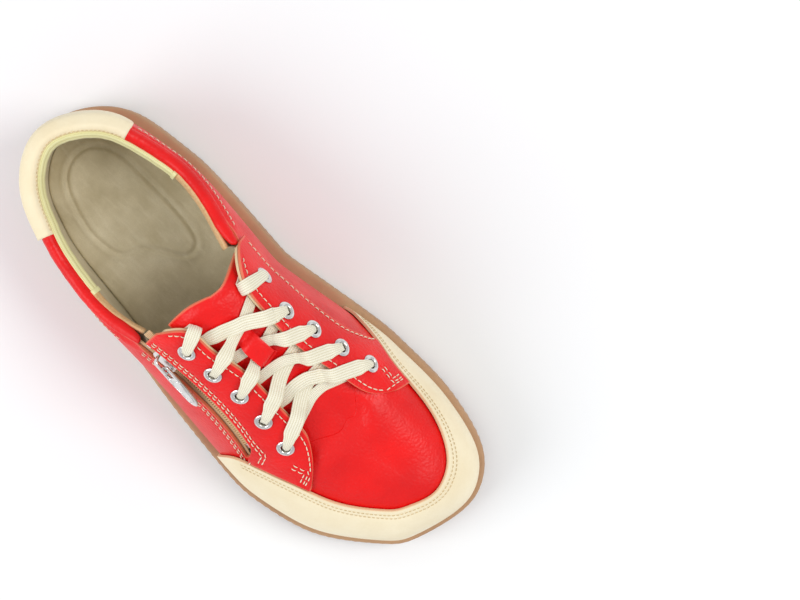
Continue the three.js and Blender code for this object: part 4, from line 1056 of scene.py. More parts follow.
bore_radius = eyelet_barrel + 0.3
lining_bore = eyelet_barrel + 1.4
places = run(-facing_rear, -facing_tab, 0.9)
a, t = field(places, medial_facing_low(places), medial_throat(places), 40)
drill(shell("MedialFacing", a, t, overlay_top, overlay_base, red, ["medial_facing"], relief),
      medial_eyelets, bore_radius)
places = run(-0.597, -quarter_front, 1.4)
low = np.minimum(medial_quarter_top(places) + 0.008, medial_throat(places) - 0.03)
a, t = field(places, low, medial_throat(places) - 0.004, 22)
drill(shell("MedialEyestay", a, t, 0, -leather, cream, ["medial_eyestay_lining"]), medial_eyelets, lining_bore)
places = run(facing_tab, lateral_rear, 0.9)
a, t = field(places, lateral_facing_low(places), lateral_throat(places), 40)
drill(shell("LateralFacing", a, t, overlay_top, overlay_base, red, ["lateral_facing"], relief),
      lateral_eyelets, bore_radius)
places = run(quarter_front, 0.606, 1.4)
low = mix(quarter_split, above_zip(zip_opening)(places), open_at(places))
a, t = field(places, low, lateral_throat(places) - 0.004, 22)
drill(shell("LateralEyestay", a, t, 0, -leather, cream, ["lateral_eyestay_lining"]), lateral_eyelets, lining_bore)


# ---------------------------------------------------------------- collars, heel cap and linings
def collar_point(a, o, b):
    centre = collar_line(a)
    return lift(a, centre + b / climb(a, centre), o)


def collar_arc(angles):
    angle = np.radians(np.asarray(angles, float))
    return np.stack([collar_half_width * (np.cos(angle) - 1), collar_half_height * np.sin(angle)], -1)


def rings_round(places, section, puckers=0.0, phase=0.0, taper=None):
    """Rings of a collar's section; puckers pinch it a little along its length."""
    places = np.asarray(places, float)
    out = []
    for a in places:
        shape = np.array(section(a) if callable(section) else section, float)
        out.append(shape)
    shapes = np.array(out)
    if taper is not None:
        shapes = shapes * taper(places)[:, None, None]
    if puckers:
        middle = np.array([-collar_half_width, 0.0])
        wave = (np.sin(places * 190 + phase) * 0.5 + np.sin(places * 331 + 2 * phase) * 0.3
                + np.sin(places * 617) * 0.2)
        shapes = middle + (shapes - middle) * (1 - puckers * (0.5 + 0.5 * wave))[:, None, None]
    grid_a = np.broadcast_to(places[:, None], shapes.shape[:2])
    return collar_point(grid_a, shapes[..., 0], shapes[..., 1])


roll = collar_arc(np.arange(-60, -351, -9))
medial_end, lateral_end = medial_collar_front + 0.013, lateral_collar_front - 0.014
medial_roll = loft("MedialCollar", rings_round(
    run(cap_medial - 0.004, medial_end), roll, 0.05, 1.0,
    lambda a: mix(0.3, 1, np.sqrt(np.clip((medial_end - a) / 0.035, 0, 1)))), red, ["medial_collar"])
lateral_roll = loft("LateralCollar", rings_round(
    run(lateral_end, cap_lateral + 0.004), roll, 0.05, 0.0,
    lambda a: mix(0.3, 1, np.sqrt(np.clip((a - lateral_end) / 0.035, 0, 1)))), red, ["lateral_collar"])

cap_arc = collar_arc(np.arange(-55, -301, -9))


def cap_section(a):
    ends = min(a - cap_lateral, 2 + cap_medial - a)
    drop = float(cap_drop(ends)) - 4.5 * (1 - math.sqrt(min(1, ends / 0.016) * (2 - min(1, ends / 0.016))))
    rise = np.linspace(-drop, -3, 14)
    inner = np.stack([np.full(len(rise), overlay_base), rise], -1)
    fall = np.linspace(0.6, -drop + 0.4, 22)
    swell = 0.5 * min(1, ends / 0.03)
    bulge = overlay_top + swell * np.sin(np.clip((fall + drop) / (drop + 1), 0, 1) * math.pi)
    outer = np.stack([bulge, fall], -1)
    return np.vstack([inner, cap_arc, [[-0.5, 3.1], [0.9, 2.0]], outer, [[overlay_top - 0.15, -drop + 0.1]]])


heel_cap = loft("HeelCap", rings_round(run(cap_lateral, 2 + cap_medial), cap_section, 0.012, 2.0), cream,
                ["heel_cap"])

roll_inner = -2 * collar_half_width
lining_turn = -collar_half_height - 0.2
lining_lip = roll_inner - 0.6
lining_path = np.array([[lining_top, -13], [lining_top - 1.2, lining_turn - 1.8],
                        [lining_lip + 0.9, lining_turn], [lining_lip, -1.6]])
lining_inner = np.array([[lining_top - lining_thickness, -13.6], [lining_top - 1.8, lining_turn - 2.9],
                         [lining_lip, lining_turn - 1.1], [lining_lip - lining_thickness, -1.6]])
medial_lining_top = 0.4


def lining_collar(a):
    return np.where(a < 1, smooth(a, 0.6, lateral_collar_front - 0.003), 1 - smooth(a, 1.39, 1.41))


def lining_front_top(a):
    beside = mix(quarter_split - 0.07, above_zip(-zip_opening - 0.6)(a), open_at(a))
    return np.where(a > 1, medial_lining_top, beside)


def quarter_lining():
    places = run(lining_split + 0.004, 2 - lining_split - 0.004, 1.6)
    rows = 36
    surfaces = []
    for path, thickness in ((lining_path, 0.0), (lining_inner, lining_thickness)):
        j = np.linspace(0, 1, rows + 1)
        low = leather_foot(places)
        plain = lift(places[:, None], mix(low[:, None], lining_front_top(places)[:, None], j[None, :]),
                     np.full((len(places), rows + 1), lining_top - thickness))
        line = collar_line(places)
        start = line - 13 / climb(places, line)
        half = rows // 2
        wall = lift(places[:, None], mix(low[:, None], start[:, None], np.linspace(0, 1, half + 1)[None, :]),
                    np.full((len(places), half + 1), lining_top - thickness))
        bend = curve(path)(np.linspace(0, 3, rows - half + 1))[1:]
        turned = collar_point(np.broadcast_to(places[:, None], (len(places), len(bend))), bend[:, 0], bend[:, 1])
        collared = np.concatenate([wall, turned], 1)
        surfaces.append(mix(plain, collared, lining_collar(places)[:, None, None]))
    outer, inner = surfaces
    n, m = outer.shape[:2]
    other = n * m
    border = np.concatenate([np.arange(m), np.arange(1, n) * m + m - 1, (n - 1) * m + np.arange(m - 2, -1, -1),
                             np.arange(n - 2, 0, -1) * m])
    ahead = np.roll(border, -1)
    faces = np.vstack([grid_faces(n, m), grid_faces(n, m, other, True),
                       np.stack([border, ahead, ahead + other, border + other], -1)])
    return add("QuarterLining", np.vstack([outer.reshape(-1, 3), inner.reshape(-1, 3)]), faces, suede,
               ["quarter_lining"], bevel=0.25)


quarter_lining()

binding_core = np.array([[roll_inner + 0.2, -1.2], [roll_inner - 2.2, -1.2], [roll_inner - 2.3, 1.2],
                         [roll_inner + 0.5, 3.6]])
binding_ring = curve(binding_core, True)(np.linspace(0, 4, 20, endpoint=False))
binding_from, binding_to = 0.712, 2 - 0.735
places = run(binding_from, binding_to, 1.2)
uv = np.stack(np.broadcast_arrays(np.arange(20)[None, :] * 0.45, (places * MM_PER_A)[:, None]), -1)
loft("ToplineBinding", rings_round(places, binding_ring, 0.03, 3.0), binding_look, ["topline_binding"], uv=uv)
edge_core = np.array([[roll_inner + 0.9, -1.4], [roll_inner - 1.3, -1.4], [roll_inner - 1.5, 1.0],
                      [roll_inner + 1.2, 3.5]])
edge_ring = curve(edge_core, True)(np.linspace(0, 4, 16, endpoint=False))
for name, start, end in (("ToplineEdgeLateral", lateral_end + 0.004, binding_from + 0.004),
                         ("ToplineEdgeMedial", binding_to - 0.004, 2 + medial_end - 0.004)):
    loft(name, rings_round(run(start, end, 1.2), edge_ring, 0.02, 1.0), red_edge)
for name, where in (("BindingFoldLateral", binding_from), ("BindingFoldMedial", binding_to)):
    fold_ring = (edge_ring - edge_ring.mean(0)) * 1.28 + binding_core.mean(0)
    loft(name, rings_round(np.linspace(where - 0.0035, where + 0.0035, 8), fold_ring), binding_look)
# a row of small stitches where the binding meets the roll
along = np.linspace(cap_lateral + 0.005, 2 + cap_medial - 0.005, 500)
centre = collar_line(along)
stitch_row("stitches_binding", along, centre + 3.9 / climb(along, centre), roll_inner + 1.3, look=cream_thread,
           pitch=1.9, length=0.62, radius=0.2, rise=0.05)

# ---------------------------------------------------------------- tongue
tongue_lateral, tongue_medial = 0.66, 1.58
tongue_top_edge = graph([[0.66, 0.605], [0.86, 0.602], [1.03, 0.589], [1.18, 0.58], [1.35, 0.58], [1.58, 0.59]])


def tongue_layer(name, outer, thickness, margin, look, stands_for, step, ease=None):
    rows = int(MM_PER_T * 0.92 / step)
    t = np.linspace(tongue_lateral + margin, tongue_medial - margin, rows + 1)
    columns = int(0.38 * MM_PER_A / step)
    share = np.linspace(0, 1, columns + 1)[:, None]
    a = mix(tongue_front + margin * 0.3, tongue_top_edge(t)[None, :] - margin * 0.3, share)
    t = np.broadcast_to(t[None, :], a.shape)
    return shell(name, a, t, outer, outer - thickness, look, stands_for, ease)


def tongue_swell(points, a, t):
    """The tongue's padding rises between the laces and creases under them."""
    edge = np.minimum(np.minimum(a - tongue_front, tongue_top_edge(t) - a) * MM_PER_A,
                      np.minimum(t - tongue_lateral, tongue_medial - t) * MM_PER_T)
    soft = smooth(edge, 0, 6)
    creases = (np.sin(a * 95 + 3 * np.sin(t * 5)) * 0.2 + np.sin(a * 60 - t * 11) * 0.16
               + np.sin(t * 17 + a * 31) * 0.15)
    rise = 0.5 * smooth(a, 0.5, 0.57)
    return -0.8 * (1 - soft) + soft * (creases * 0.7 + rise) - 0.1


tongue = tongue_layer("Tongue", tongue_top, tongue_thickness, 0, red, ["tongue"], 1.0, tongue_swell)
tongue_layer("TongueLining", tongue_top - tongue_thickness - clearance, lining_thickness, 0.02, suede,
             ["tongue_lining"], 2.0)

loop_t = 0.965
loop_half = 5.2
loop_shape = [[0.434, -3.5], [0.4405, -2.9], [0.4455, -0.6], [0.453, 0.6], [0.468, 1.0], [0.483, 0.7],
              [0.4915, -0.5], [0.4975, -2.9], [0.506, -3.5]]
loop_line = curve(loop_shape)(np.linspace(0, len(loop_shape) - 1, 60))
width = np.linspace(-1, 1, 13)
edge_round = 0.45 * (1 - np.sqrt(np.maximum(1 - np.abs(width) ** 6, 0)))
rings = []
for (a, o) in loop_line:
    half = loop_half / float(climb(a, loop_t))
    low = [lift(a, loop_t + w * half, o + e) for w, e in zip(width, edge_round)]
    high = [lift(a, loop_t + w * half, o + 0.9 - e) for w, e in zip(width[::-1], edge_round[::-1])]
    rings.append(low + high)
loft("TongueLoop", rings, red, ["tongue_loop"])


# ---------------------------------------------------------------- zip
def along_zip(name, start, end, section, look, stands_for=(), steps=60):
    s = np.linspace(start, end, steps + 1)
    section = np.array(section, float)
    rings = on_zip(np.broadcast_to(s[:, None], (len(s), len(section))), section[None, :, 0], section[None, :, 1])
    return loft(name, rings, look, stands_for)


def rounded_box(w0, w1, h0, h1, radius, per_corner=5):
    """A rounded rectangle as (w, h) points."""
    points = []
    for cw, ch, start in ((w1 - radius, h1 - radius, 0), (w0 + radius, h1 - radius, 90),
                          (w0 + radius, h0 + radius, 180), (w1 - radius, h0 + radius, 270)):
        for angle in np.radians(np.linspace(start, start + 90, per_corner)):
            points.append([cw + radius * math.cos(angle), ch + radius * math.sin(angle)])
    return points


tape_edge = chain_half_width + 0.8
tape_start = beneath(on_zip(-zip_overrun + 1, 0, 0), tuple(zip_places[0]))[0]
tape_end = beneath(on_zip(chain_length + zip_overrun - 2, 0, 0), tuple(zip_places[2]))[0]
for name, low, high, node in (("TapeUpper", tape_edge, tape_edge + tape_width, "zip_tape_upper"),
                              ("TapeLower", -tape_edge - tape_width, -tape_edge, "zip_tape_lower")):
    places = run(tape_end, tape_start, 1.5)
    a, t = field(places, above_zip(low)(places), above_zip(high)(places), 8)
    made = shell(name, a, t, chain_level + 0.35, chain_level - 0.35, tape_look, [node])
    layer = made.data.uv_layers.new(name="UVMap") if not made.data.uv_layers else made.data.uv_layers[0]
    grid = np.stack([t * MM_PER_T, a * MM_PER_A], -1).reshape(-1, 2)
    both = np.vstack([grid, grid])
    corners = np.empty(len(made.data.loops), int)
    made.data.loops.foreach_get("vertex_index", corners)
    layer.data.foreach_set("uv", both[corners].ravel())

# The chain: a core that stays closed, and over it the teeth of two coils that mesh in the middle.
tooth_pitch = 1.25
along_zip("ChainCore", 0, chain_length, rounded_box(-2.0, 2.0, -0.75, 0.15, 0.3), coil_look, ["zip_chain"])
teeth = []
faces = []
count = 0
for row in (-1, 1):
    for k in range(int(chain_length / tooth_pitch)):
        s = (k + (0.25 if row > 0 else 0.75)) * tooth_pitch
        w = np.linspace(-0.25, 2.25, 9)
        level = 0.42 * np.sqrt(np.maximum(1 - ((w - 1.0) / 1.35) ** 2, 0.0)) + 0.05
        lean = 0.28 * (w - 1.0) / 1.25
        for q in range(len(w)):
            for angle in np.arange(6) * math.pi / 3:
                teeth.append(on_zip(np.array(s + lean[q] + 0.42 * math.cos(angle)), np.array(row * w[q]),
                                    np.array(level[q] + 0.4 * math.sin(angle))))
        base = grid_faces(len(w), 6, close=True) + count
        faces += base.tolist()
        faces += [list(range(count, count + 6)), list(range(count + 6 * (len(w) - 1), count + 6 * len(w)))]
        count += 6 * len(w)
add("ChainTeeth", teeth, faces, coil_look)
along_zip("BottomStop", chain_length + 0.3, chain_length + 3, rounded_box(-2.1, 2.1, -0.9, 0.4, 0.5), nickel,
          ["zip_bottom_stop"], 6)
along_zip("TopStopUpper", -3, -0.6, rounded_box(0.4, 2.2, -0.9, 1.0, 0.5), nickel, ["zip_top_stop_upper"], 6)
along_zip("TopStopLower", -3, -0.6, rounded_box(-2.2, -0.4, -0.9, 1.0, 0.5), nickel, ["zip_top_stop_lower"], 6)

# The slider and its pull, made flat: x along the chain to the toe, y across it, z outwards.
slider_rest = 8
channel = 0.9 + 0.4
slider_plate = 1.0
pivot_height = 5.4
pivot_radius = 0.5
pivot_along = 1.2
bridge_half = 4.4
bridge_width = 2
bridge_top = pivot_height + pivot_radius + 1.3
pull_thickness = 1.2


def on_chain(s):
    forward = unit(on_zip(np.array(s + 0.5), np.array(0.0), np.array(0.0))
                   - on_zip(np.array(s - 0.5), np.array(0.0), np.array(0.0)))
    across = unit(on_zip(np.array(s), np.array(1.0), np.array(0.0))
                  - on_zip(np.array(s), np.array(0.0), np.array(0.0)))
    place = on_zip(np.array(s), np.array(0.0), np.array(0.0))
    return lambda points: place + np.asarray(points, float) @ np.stack([forward, across, zip_out])


to_slider = on_chain(slider_rest)


def turned(points, angle):
    points = np.array(points, float)
    c, s = math.cos(angle), math.sin(angle)
    spun = points.copy()
    spun[..., 0] = points[..., 0] * c - points[..., 1] * s
    spun[..., 1] = points[..., 0] * s + points[..., 1] * c
    return spun


def domed_plate(name, rim, low, high, look, stands_for, body, dome=0.35, hole=None, move=lambda p: p):
    """A plate with rounded edges and a slightly domed top; a hole goes right through it."""
    rim = curve(rim, True)(np.linspace(0, len(rim), 96, endpoint=False))
    middle = (high + low) / 2
    half = (high - low) / 2
    angles = np.linspace(-90, 90, 9)
    centre = rim.mean(0)
    inward = unit(centre - rim)
    rings = []
    start = [0.0] if hole is None else []
    for f in (start + [0.35, 0.7, 0.9]):
        rings.append(np.column_stack([centre + (rim - centre) * f if hole is None else mix(hole, rim, f),
                                      np.full(len(rim), low)]))
    for angle in np.radians(angles):
        edge = rim + inward * (half * 0.8 * (1 - math.cos(angle)))
        rings.append(np.column_stack([edge, np.full(len(rim), middle + half * math.sin(angle))]))
    for f in ([0.9, 0.7, 0.35] + start):
        rings.append(np.column_stack([centre + (rim - centre) * f if hole is None else mix(hole, rim, f),
                                      np.full(len(rim), high + dome * (1 - f ** 2))]))
    m = len(rim)
    if hole is not None:
        first, final = (np.column_stack([hole, np.full(m, z)]) for z in (low, high + dome * 0.4))
        rings = [first] + rings + [final]
    rings = np.array(rings)
    faces = grid_faces(len(rings), m, close=True).tolist()
    if hole is not None:
        last_ring = (len(rings) - 1) * m
        faces += [[(k + 1) % m, k, last_ring + k, last_ring + (k + 1) % m] for k in range(m)]
    return add(name, move(rings), faces, look, stands_for, body=body, weld=0.002)


slider_rim = [[x * slider_length, y * slider_half_width] for x, y in (
    [0.5, 0.45], [0.42, 0.82], [0.1, 1], [-0.3, 0.94], [-0.5, 0.55], [-0.52, 0],
    [-0.5, -0.55], [-0.3, -0.94], [0.1, -1], [0.42, -0.82], [0.5, -0.45], [0.47, 0])]
domed_plate("SliderTop", slider_rim, channel, channel + slider_plate, nickel, ["zip_slider"], "slider", 0.5,
            move=to_slider)
domed_plate("SliderBottom", np.array(slider_rim) * [0.96, 0.94], -channel - slider_plate, -channel, nickel,
            ["slider_bottom_plate"], "slider", 0.0, move=to_slider)
# side walls of the slider, turned in over the coils
for side in (-1, 1):
    profile = []
    for x in np.linspace(-0.42, 0.36, 24) * slider_length:
        reach_y = slider_half_width * (0.97 - 0.12 * (x / slider_length * 2) ** 2)
        profile.append([[x, side * (reach_y - 0.05 + dy), z] for dy, z in (
            (0, channel + 0.3), (-0.15, channel - 0.1), (-0.35, 0.55), (-0.75, 0.5), (-0.8, channel + 0.3))])
    loft("SliderWall_%s" % ("left" if side < 0 else "right"), to_slider(np.array(profile)), nickel, body="slider")
# the bridge: a flat strap arched over the plate
arch = np.array([[-bridge_half, 2.1], [-bridge_half + 0.15, 4.2], [-bridge_half + 0.9, bridge_top - 1.0],
                 [-bridge_half + 2.2, bridge_top - 0.5], [0, bridge_top - 0.45], [bridge_half - 2.2, bridge_top - 0.5],
                 [bridge_half - 0.9, bridge_top - 1.0], [bridge_half - 0.15, 4.2], [bridge_half, 2.1]])
arch = curve(arch)(np.linspace(0, len(arch) - 1, 60))
tangent = unit(np.gradient(arch, axis=0))
across_arch = np.stack([-tangent[:, 1], tangent[:, 0]], -1)
strap = rounded_box(-bridge_width / 2, bridge_width / 2, -0.5, 0.5, 0.35)
rings = [[[p[0] + q[0] * h, w, p[1] + q[1] * h] for w, h in strap] for p, q in zip(arch, across_arch)]
loft("SliderBridge", to_slider(turned(rings, pull_yaw)), nickel, body="slider")

# the pull: a tapered plate with a slot at its head, and the bar of the slot inside the bridge
half = pull_width / 2
pull_rim = [[-0.6, -half * 0.62], [-0.6, half * 0.62], [0.6, half * 0.95], [6, half], [13, half * 0.93],
            [pull_length - 4, half * 0.8], [pull_length - 1.2, half * 0.5], [pull_length, 0],
            [pull_length - 1.2, -half * 0.5], [pull_length - 4, -half * 0.8], [13, -half * 0.93], [6, -half],
            [0.6, -half * 0.95]]
arm = bridge_width / 2 + 0.5
slot_far = bridge_half - pivot_along + 2.8


def pull_place(points):
    points = np.array(points, float)
    spun = turned(points, pull_yaw)
    pivot = turned([[pivot_along, 0, 0]], pull_yaw)[0]
    return to_slider(spun + pivot + [0, 0, pivot_height])


def pull_head():
    """Sample points round the plate's rim and the matching ones round the slot, both from the pivot side."""
    rim = curve(pull_rim, True)(np.linspace(0, len(pull_rim), 96, endpoint=False))
    centre = np.array([(pivot_radius + slot_far) / 2, 0.0])
    angles = np.arctan2(rim[:, 1], rim[:, 0] - centre[0])
    reach_x, reach_y = (slot_far - pivot_radius) / 2, arm
    c, s = np.cos(angles), np.sin(angles)
    power = 5
    size = (np.abs(c / reach_x) ** power + np.abs(s / reach_y) ** power) ** (-1 / power)
    return centre + np.stack([c * size, s * size], -1)


domed_plate("ZipPull", pull_rim, -pull_thickness / 2, pull_thickness / 2 - 0.1, nickel, ["zip_pull"], "pull", 0.12,
            hole=pull_head(), move=pull_place)
# a raised border runs round the lower part of the pull
border_rim = curve([[8.6, -half * 0.66], [8.6, half * 0.66], [14, half * 0.62], [pull_length - 4.4, half * 0.46],
                    [pull_length - 2.4, 0], [pull_length - 4.4, -half * 0.46], [14, -half * 0.62]], True)(
                        np.linspace(0, 7, 80, endpoint=False))
tangent = unit(np.roll(border_rim, -1, 0) - np.roll(border_rim, 1, 0))
side_way = np.stack([-tangent[:, 1], tangent[:, 0]], -1)
rings = []
for p, q in zip(border_rim, side_way):
    rings.append([[p[0] + q[0] * 0.22 * math.cos(u), p[1] + q[1] * 0.22 * math.cos(u), 0.55 + 0.2 * math.sin(u)]
                  for u in np.arange(8) * math.pi / 4])
rings.append(rings[0])
loft("PullBorder", pull_place(rings), nickel, body="pull")


# ---------------------------------------------------------------- eyelets
def lathe(profile, segments=48):
    profile = np.array(profile, float)
    angles = np.arange(segments) * 2 * math.pi / segments
    points = np.stack([profile[:, 0, None] * np.cos(angles), profile[:, 0, None] * np.sin(angles),
                       np.broadcast_to(profile[:, 1, None], (len(profile), segments))], -1)
    return points.reshape(-1, 3), grid_faces(len(profile), segments, close=True)


flange_top = overlay_top + 0.8
flange_arc = [[eyelet_bore, 0.4], [eyelet_bore, flange_top - 0.9], [eyelet_bore + 0.12, flange_top - 0.45],
              [eyelet_bore + 0.45, flange_top - 0.12], [eyelet_bore + 0.9, flange_top],
              [eyelet_bore + 1.4, flange_top - 0.08], [eyelet_flange - 0.25, flange_top - 0.32],
              [eyelet_flange, flange_top - 0.5], [eyelet_flange - 0.05, flange_top - 0.62]]
eyelet_profile = flange_arc + [[eyelet_barrel, flange_top - 0.5], [eyelet_barrel, 0.1],
                               [eyelet_barrel + 0.9, -0.2], [eyelet_barrel + 0.7, -0.45], [eyelet_bore, -0.5],
                               [eyelet_bore, 0.4]]
ring_points, ring_faces = lathe(eyelet_profile)
for side, eyelets in (("medial", medial_eyelets), ("lateral", lateral_eyelets)):
    for k, (a, t) in enumerate(eyelets):
        turn = standing(a, t, 0)
        spin = np.array(turn.to_3x3())
        move = np.array(turn.translation) / MM
        add("Eyelet_%s_%d" % (side, k + 1), ring_points @ spin.T + move, ring_faces, nickel,
            ["eyelet_%s_%d" % (side, k + 1)], weld=0.002)

# ---------------------------------------------------------------- lace
over_eyelet = [[0, 0.9, lace_pinch], [0.5, 3.1, lace_pinch], [1.9, 4.3, 3.6], [4.6, 4.3, 5.2],
               [7.4, lace_over, lace_width]]
under_eyelet = [[6.4, lace_under, 5.6], [2.6, lace_under, 3.6], [0.5, lace_under + 0.45, lace_pinch],
                [0, -0.9, lace_pinch]]


def on_chart(place):
    a, t = place
    return (-a, 2 - t) if a < 0 else (a, t)


def along_line(start, end):
    return lambda s: (mix(start[0], end[0], s), mix(start[1], end[1], s))


def lace_at(place, offset, width, toward):
    out = normal(*place)
    ahead = last(*toward[1]) - last(*toward[0])
    return lift(place[0], place[1], offset), unit(np.cross(out, ahead)), width


def share_to_edge(start, end, medial):
    for s in np.arange(0, 0.5, 0.005):
        a, t = mix(start[0], end[0], s), mix(start[1], end[1], s)
        if (t < 2 - medial_throat(-a)) if medial else (t > lateral_throat(a)):
            return s
    return 0.5


def strand(begin, finish_at, upper, crossing_width=lace_width):
    start, end = on_chart(begin), on_chart(finish_at)
    toward = (start, end)
    length = np.linalg.norm(last(*start) - last(*end)) * 1.06
    place = along_line(start, end)
    edge = share_to_edge(start, end, begin[0] < 0)
    crossing = lace_under + lace_thickness + 0.45
    if upper:
        middle = [(edge * 0.75, lace_over, lace_width), (edge + 0.05, lace_over, lace_width), (0.43, crossing),
                  (0.5, crossing), (0.57, crossing), (0.68, lace_under), (0.77, lace_under)]
    else:
        middle = [(edge + 0.03, lace_over, lace_width), (edge + 0.1, lace_over - 4.1), (edge + 0.16, lace_under),
                  (0.45, lace_under), (0.56, lace_under), (0.67, lace_under), (0.78, lace_under)]
    stations = [lace_at(place(d / length), o, w, toward) for d, o, w in over_eyelet]
    stations += [lace_at(place(s[0]), s[1], s[2] if len(s) > 2 else crossing_width, toward) for s in middle]
    return stations + [lace_at(place(1 - d / length), o, w, toward) for d, o, w in under_eyelet]


def under_bar(begin, finish_at):
    start, end = on_chart(begin), on_chart(finish_at)
    length = np.linalg.norm(last(*start) - last(*end)) * 1.06
    place = along_line(start, end)
    toward = (start, end)
    return ([lace_at(place(d / length), o, w, toward) for d, o, w in under_eyelet[::-1]]
            + [lace_at(place(s), lace_under, 5, toward) for s in (0.26, 0.38, 0.5, 0.62, 0.74)]
            + [lace_at(place(1 - d / length), o, w, toward) for d, o, w in under_eyelet])


def tail(begin, fold, end):
    to_fold = (on_chart(begin), on_chart(fold))
    onward = (on_chart(fold), on_chart(end))
    length = np.linalg.norm(last(*to_fold[0]) - last(*to_fold[1]))
    go, on = along_line(*to_fold), along_line(*onward)
    return [lace_at(go(d / length), o, w, to_fold) for d, o, w in over_eyelet[:4]] + [
        lace_at(go(1), lace_over, lace_width - 0.6, to_fold), lace_at(go(1.18), 1.2, lace_width - 0.8, to_fold),
        lace_at(go(1.12), lace_under + 0.4, lace_width - 1.4, to_fold), lace_at(on(0.25), lace_under, 5, to_fold),
        lace_at(on(0.55), lace_under, 4.4, to_fold)]


m1, m2, m3, m4, m5 = medial_eyelets
l1, l2, l3, l4, l5 = lateral_eyelets
medial_fold, medial_tail_end = (-0.553, 0.695), (-0.57, 0.5)
lateral_fold, lateral_tail_end = (0.572, 0.8), (0.588, 0.635)
lace_stations = (
    tail(m1, medial_fold, medial_tail_end)[::-1]
    + strand(l2, m1, False, lace_bunched)[::-1] + strand(m3, l2, True, lace_bunched)[::-1]
    + strand(l4, m3, False)[::-1] + strand(m5, l4, True)[::-1] + under_bar(m5, l5)
    + strand(l5, m4, False) + strand(m4, l3, True, lace_bunched) + strand(l3, m2, False, lace_bunched)
    + strand(m2, l1, True) + tail(l1, lateral_fold, lateral_tail_end))


def through(points, values, step):
    """Points step apart on a centripetal spline through some places, with values carried along."""
    points = np.array(points)
    keep = [0]
    for k in range(1, len(points)):
        if np.linalg.norm(points[k] - points[keep[-1]]) > 0.05:
            keep.append(k)
    points, values = points[keep], np.array(values)[keep]
    knots = np.concatenate([[0], np.cumsum(np.linalg.norm(np.diff(points, axis=0), axis=1) ** 0.5)])
    ends = np.vstack([2 * points[0] - points[1], points, 2 * points[-1] - points[-2]])
    t = np.concatenate([[2 * knots[0] - knots[1]], knots, [2 * knots[-1] - knots[-2]]])
    out, carried = [], []
    for k in range(len(points) - 1):
        p, u = ends[k:k + 4], t[k:k + 4]
        count = max(int(np.linalg.norm(p[2] - p[1]) / step), 1)
        for w in np.linspace(u[1], u[2], count, endpoint=False):
            a = [p[i] * (u[i + 1] - w) / (u[i + 1] - u[i]) + p[i + 1] * (w - u[i]) / (u[i + 1] - u[i])
                 for i in range(3)]
            b = [a[i] * (u[i + 2] - w) / (u[i + 2] - u[i]) + a[i + 1] * (w - u[i]) / (u[i + 2] - u[i])
                 for i in range(2)]
            out.append(b[0] * (u[2] - w) / (u[2] - u[1]) + b[1] * (w - u[1]) / (u[2] - u[1]))
            f = (w - u[1]) / (u[2] - u[1])
            carried.append(mix(values[k], values[k + 1], f * f * (3 - 2 * f)))
    out.append(points[-1])
    carried.append(values[-1])
    return np.array(out), np.array(carried)


def ribbon(stations):
    """(points, across, width): the lace's middle line with a steady sense of across."""
    across = []
    before = stations[0][1]
    for _, way, _ in stations:
        if way @ before < 0:
            way = -way
        across.append(way)
        before = way
    values = [[*way, station[2]] for way, station in zip(across, stations)]
    points, carried = through([s[0] for s in stations], values, 0.55)
    along = unit(np.gradient(points, axis=0))
    for _ in range(3):
        along = unit(along + np.roll(along, 1, 0) + np.roll(along, -1, 0))
    along[[0, -1]] = along[[1, -2]]
    way = carried[:, :3]
    way = unit(way - along * (way * along).sum(-1, keepdims=True))
    return points, along, way, carried[:, 3]


lace_ribs = 6


def woven_band(name, stations, look, stands_for, fold_gain=0.35):
    """A flat woven tube along the stations, ribbed lengthwise and cupped where it is drawn in."""
    points, along, across, width = ribbon(stations)
    out = np.cross(along, across)
    sides = 36
    angles = np.arange(sides) * 2 * math.pi / sides
    u = np.cos(angles)
    v = np.sin(angles)
    flat = np.sign(u) * np.abs(u) ** 0.75
    full = np.sign(v) * np.abs(v) ** 0.55
    ribs = 0.1 * np.cos(flat * math.pi * lace_ribs)
    squeezed = (1 - width / lace_width)
    half_thick = lace_thickness / 2 * (1 + 0.25 * squeezed)
    reach = np.concatenate([[0], np.cumsum(np.linalg.norm(np.diff(points, axis=0), axis=1))])
    cup = fold_gain * squeezed * lace_width * 0.3
    shape_x = flat[None, :] * width[:, None] / 2
    shape_y = full[None, :] * (half_thick[:, None] - 0.1) + ribs[None, :] * np.sign(full)[None, :]
    shape_y = shape_y + cup[:, None] * (flat[None, :] ** 2 - 0.4)
    rings = points[:, None] + across[:, None] * shape_x[..., None] + out[:, None] * shape_y[..., None]
    uv = np.stack(np.broadcast_arrays(flat[None, :] * lace_width / 2, reach[:, None]), -1)
    return loft(name, rings, look, stands_for, uv=uv)


woven_band("Lace", lace_stations, lace_look, ["lace"])
for side, fold, end in (("medial", medial_fold, medial_tail_end), ("lateral", lateral_fold, lateral_tail_end)):
    toward = (on_chart(fold), on_chart(end))
    place = along_line(*toward)
    ends = [lace_at(place(s), lace_under, 4, toward) for s in (0.6, 0.8, 1)]
    woven_band("Aglet_%s" % side, ends, plastic_look, ["aglet_%s" % side], 0.0)

# ---------------------------------------------------------------- sole and footbed
foot_inset = flange + 7.7
board_rise = 0.4
board_thickness = 1.8
footbed_thickness = 4.0
tread_angle = 0.12
groove_pitch = 9
groove_width = 2.6
groove_depth = 2.2


def block(rows, step=1.6, ripple=None):
    """Outlines of the sole at rising heights, each row being [inset, height(y)]."""
    places = np.linspace(0, 2, int(2 * MM_PER_A / step), endpoint=False)
    rings = []
    for inset, height in rows:
        x, y = outline(places, inset)
        z = height(y)
        if ripple is not None:
            x, y = outline(places, inset + ripple(places, z))
        rings.append(np.stack([x, y, z], -1))
    return np.array(rings)


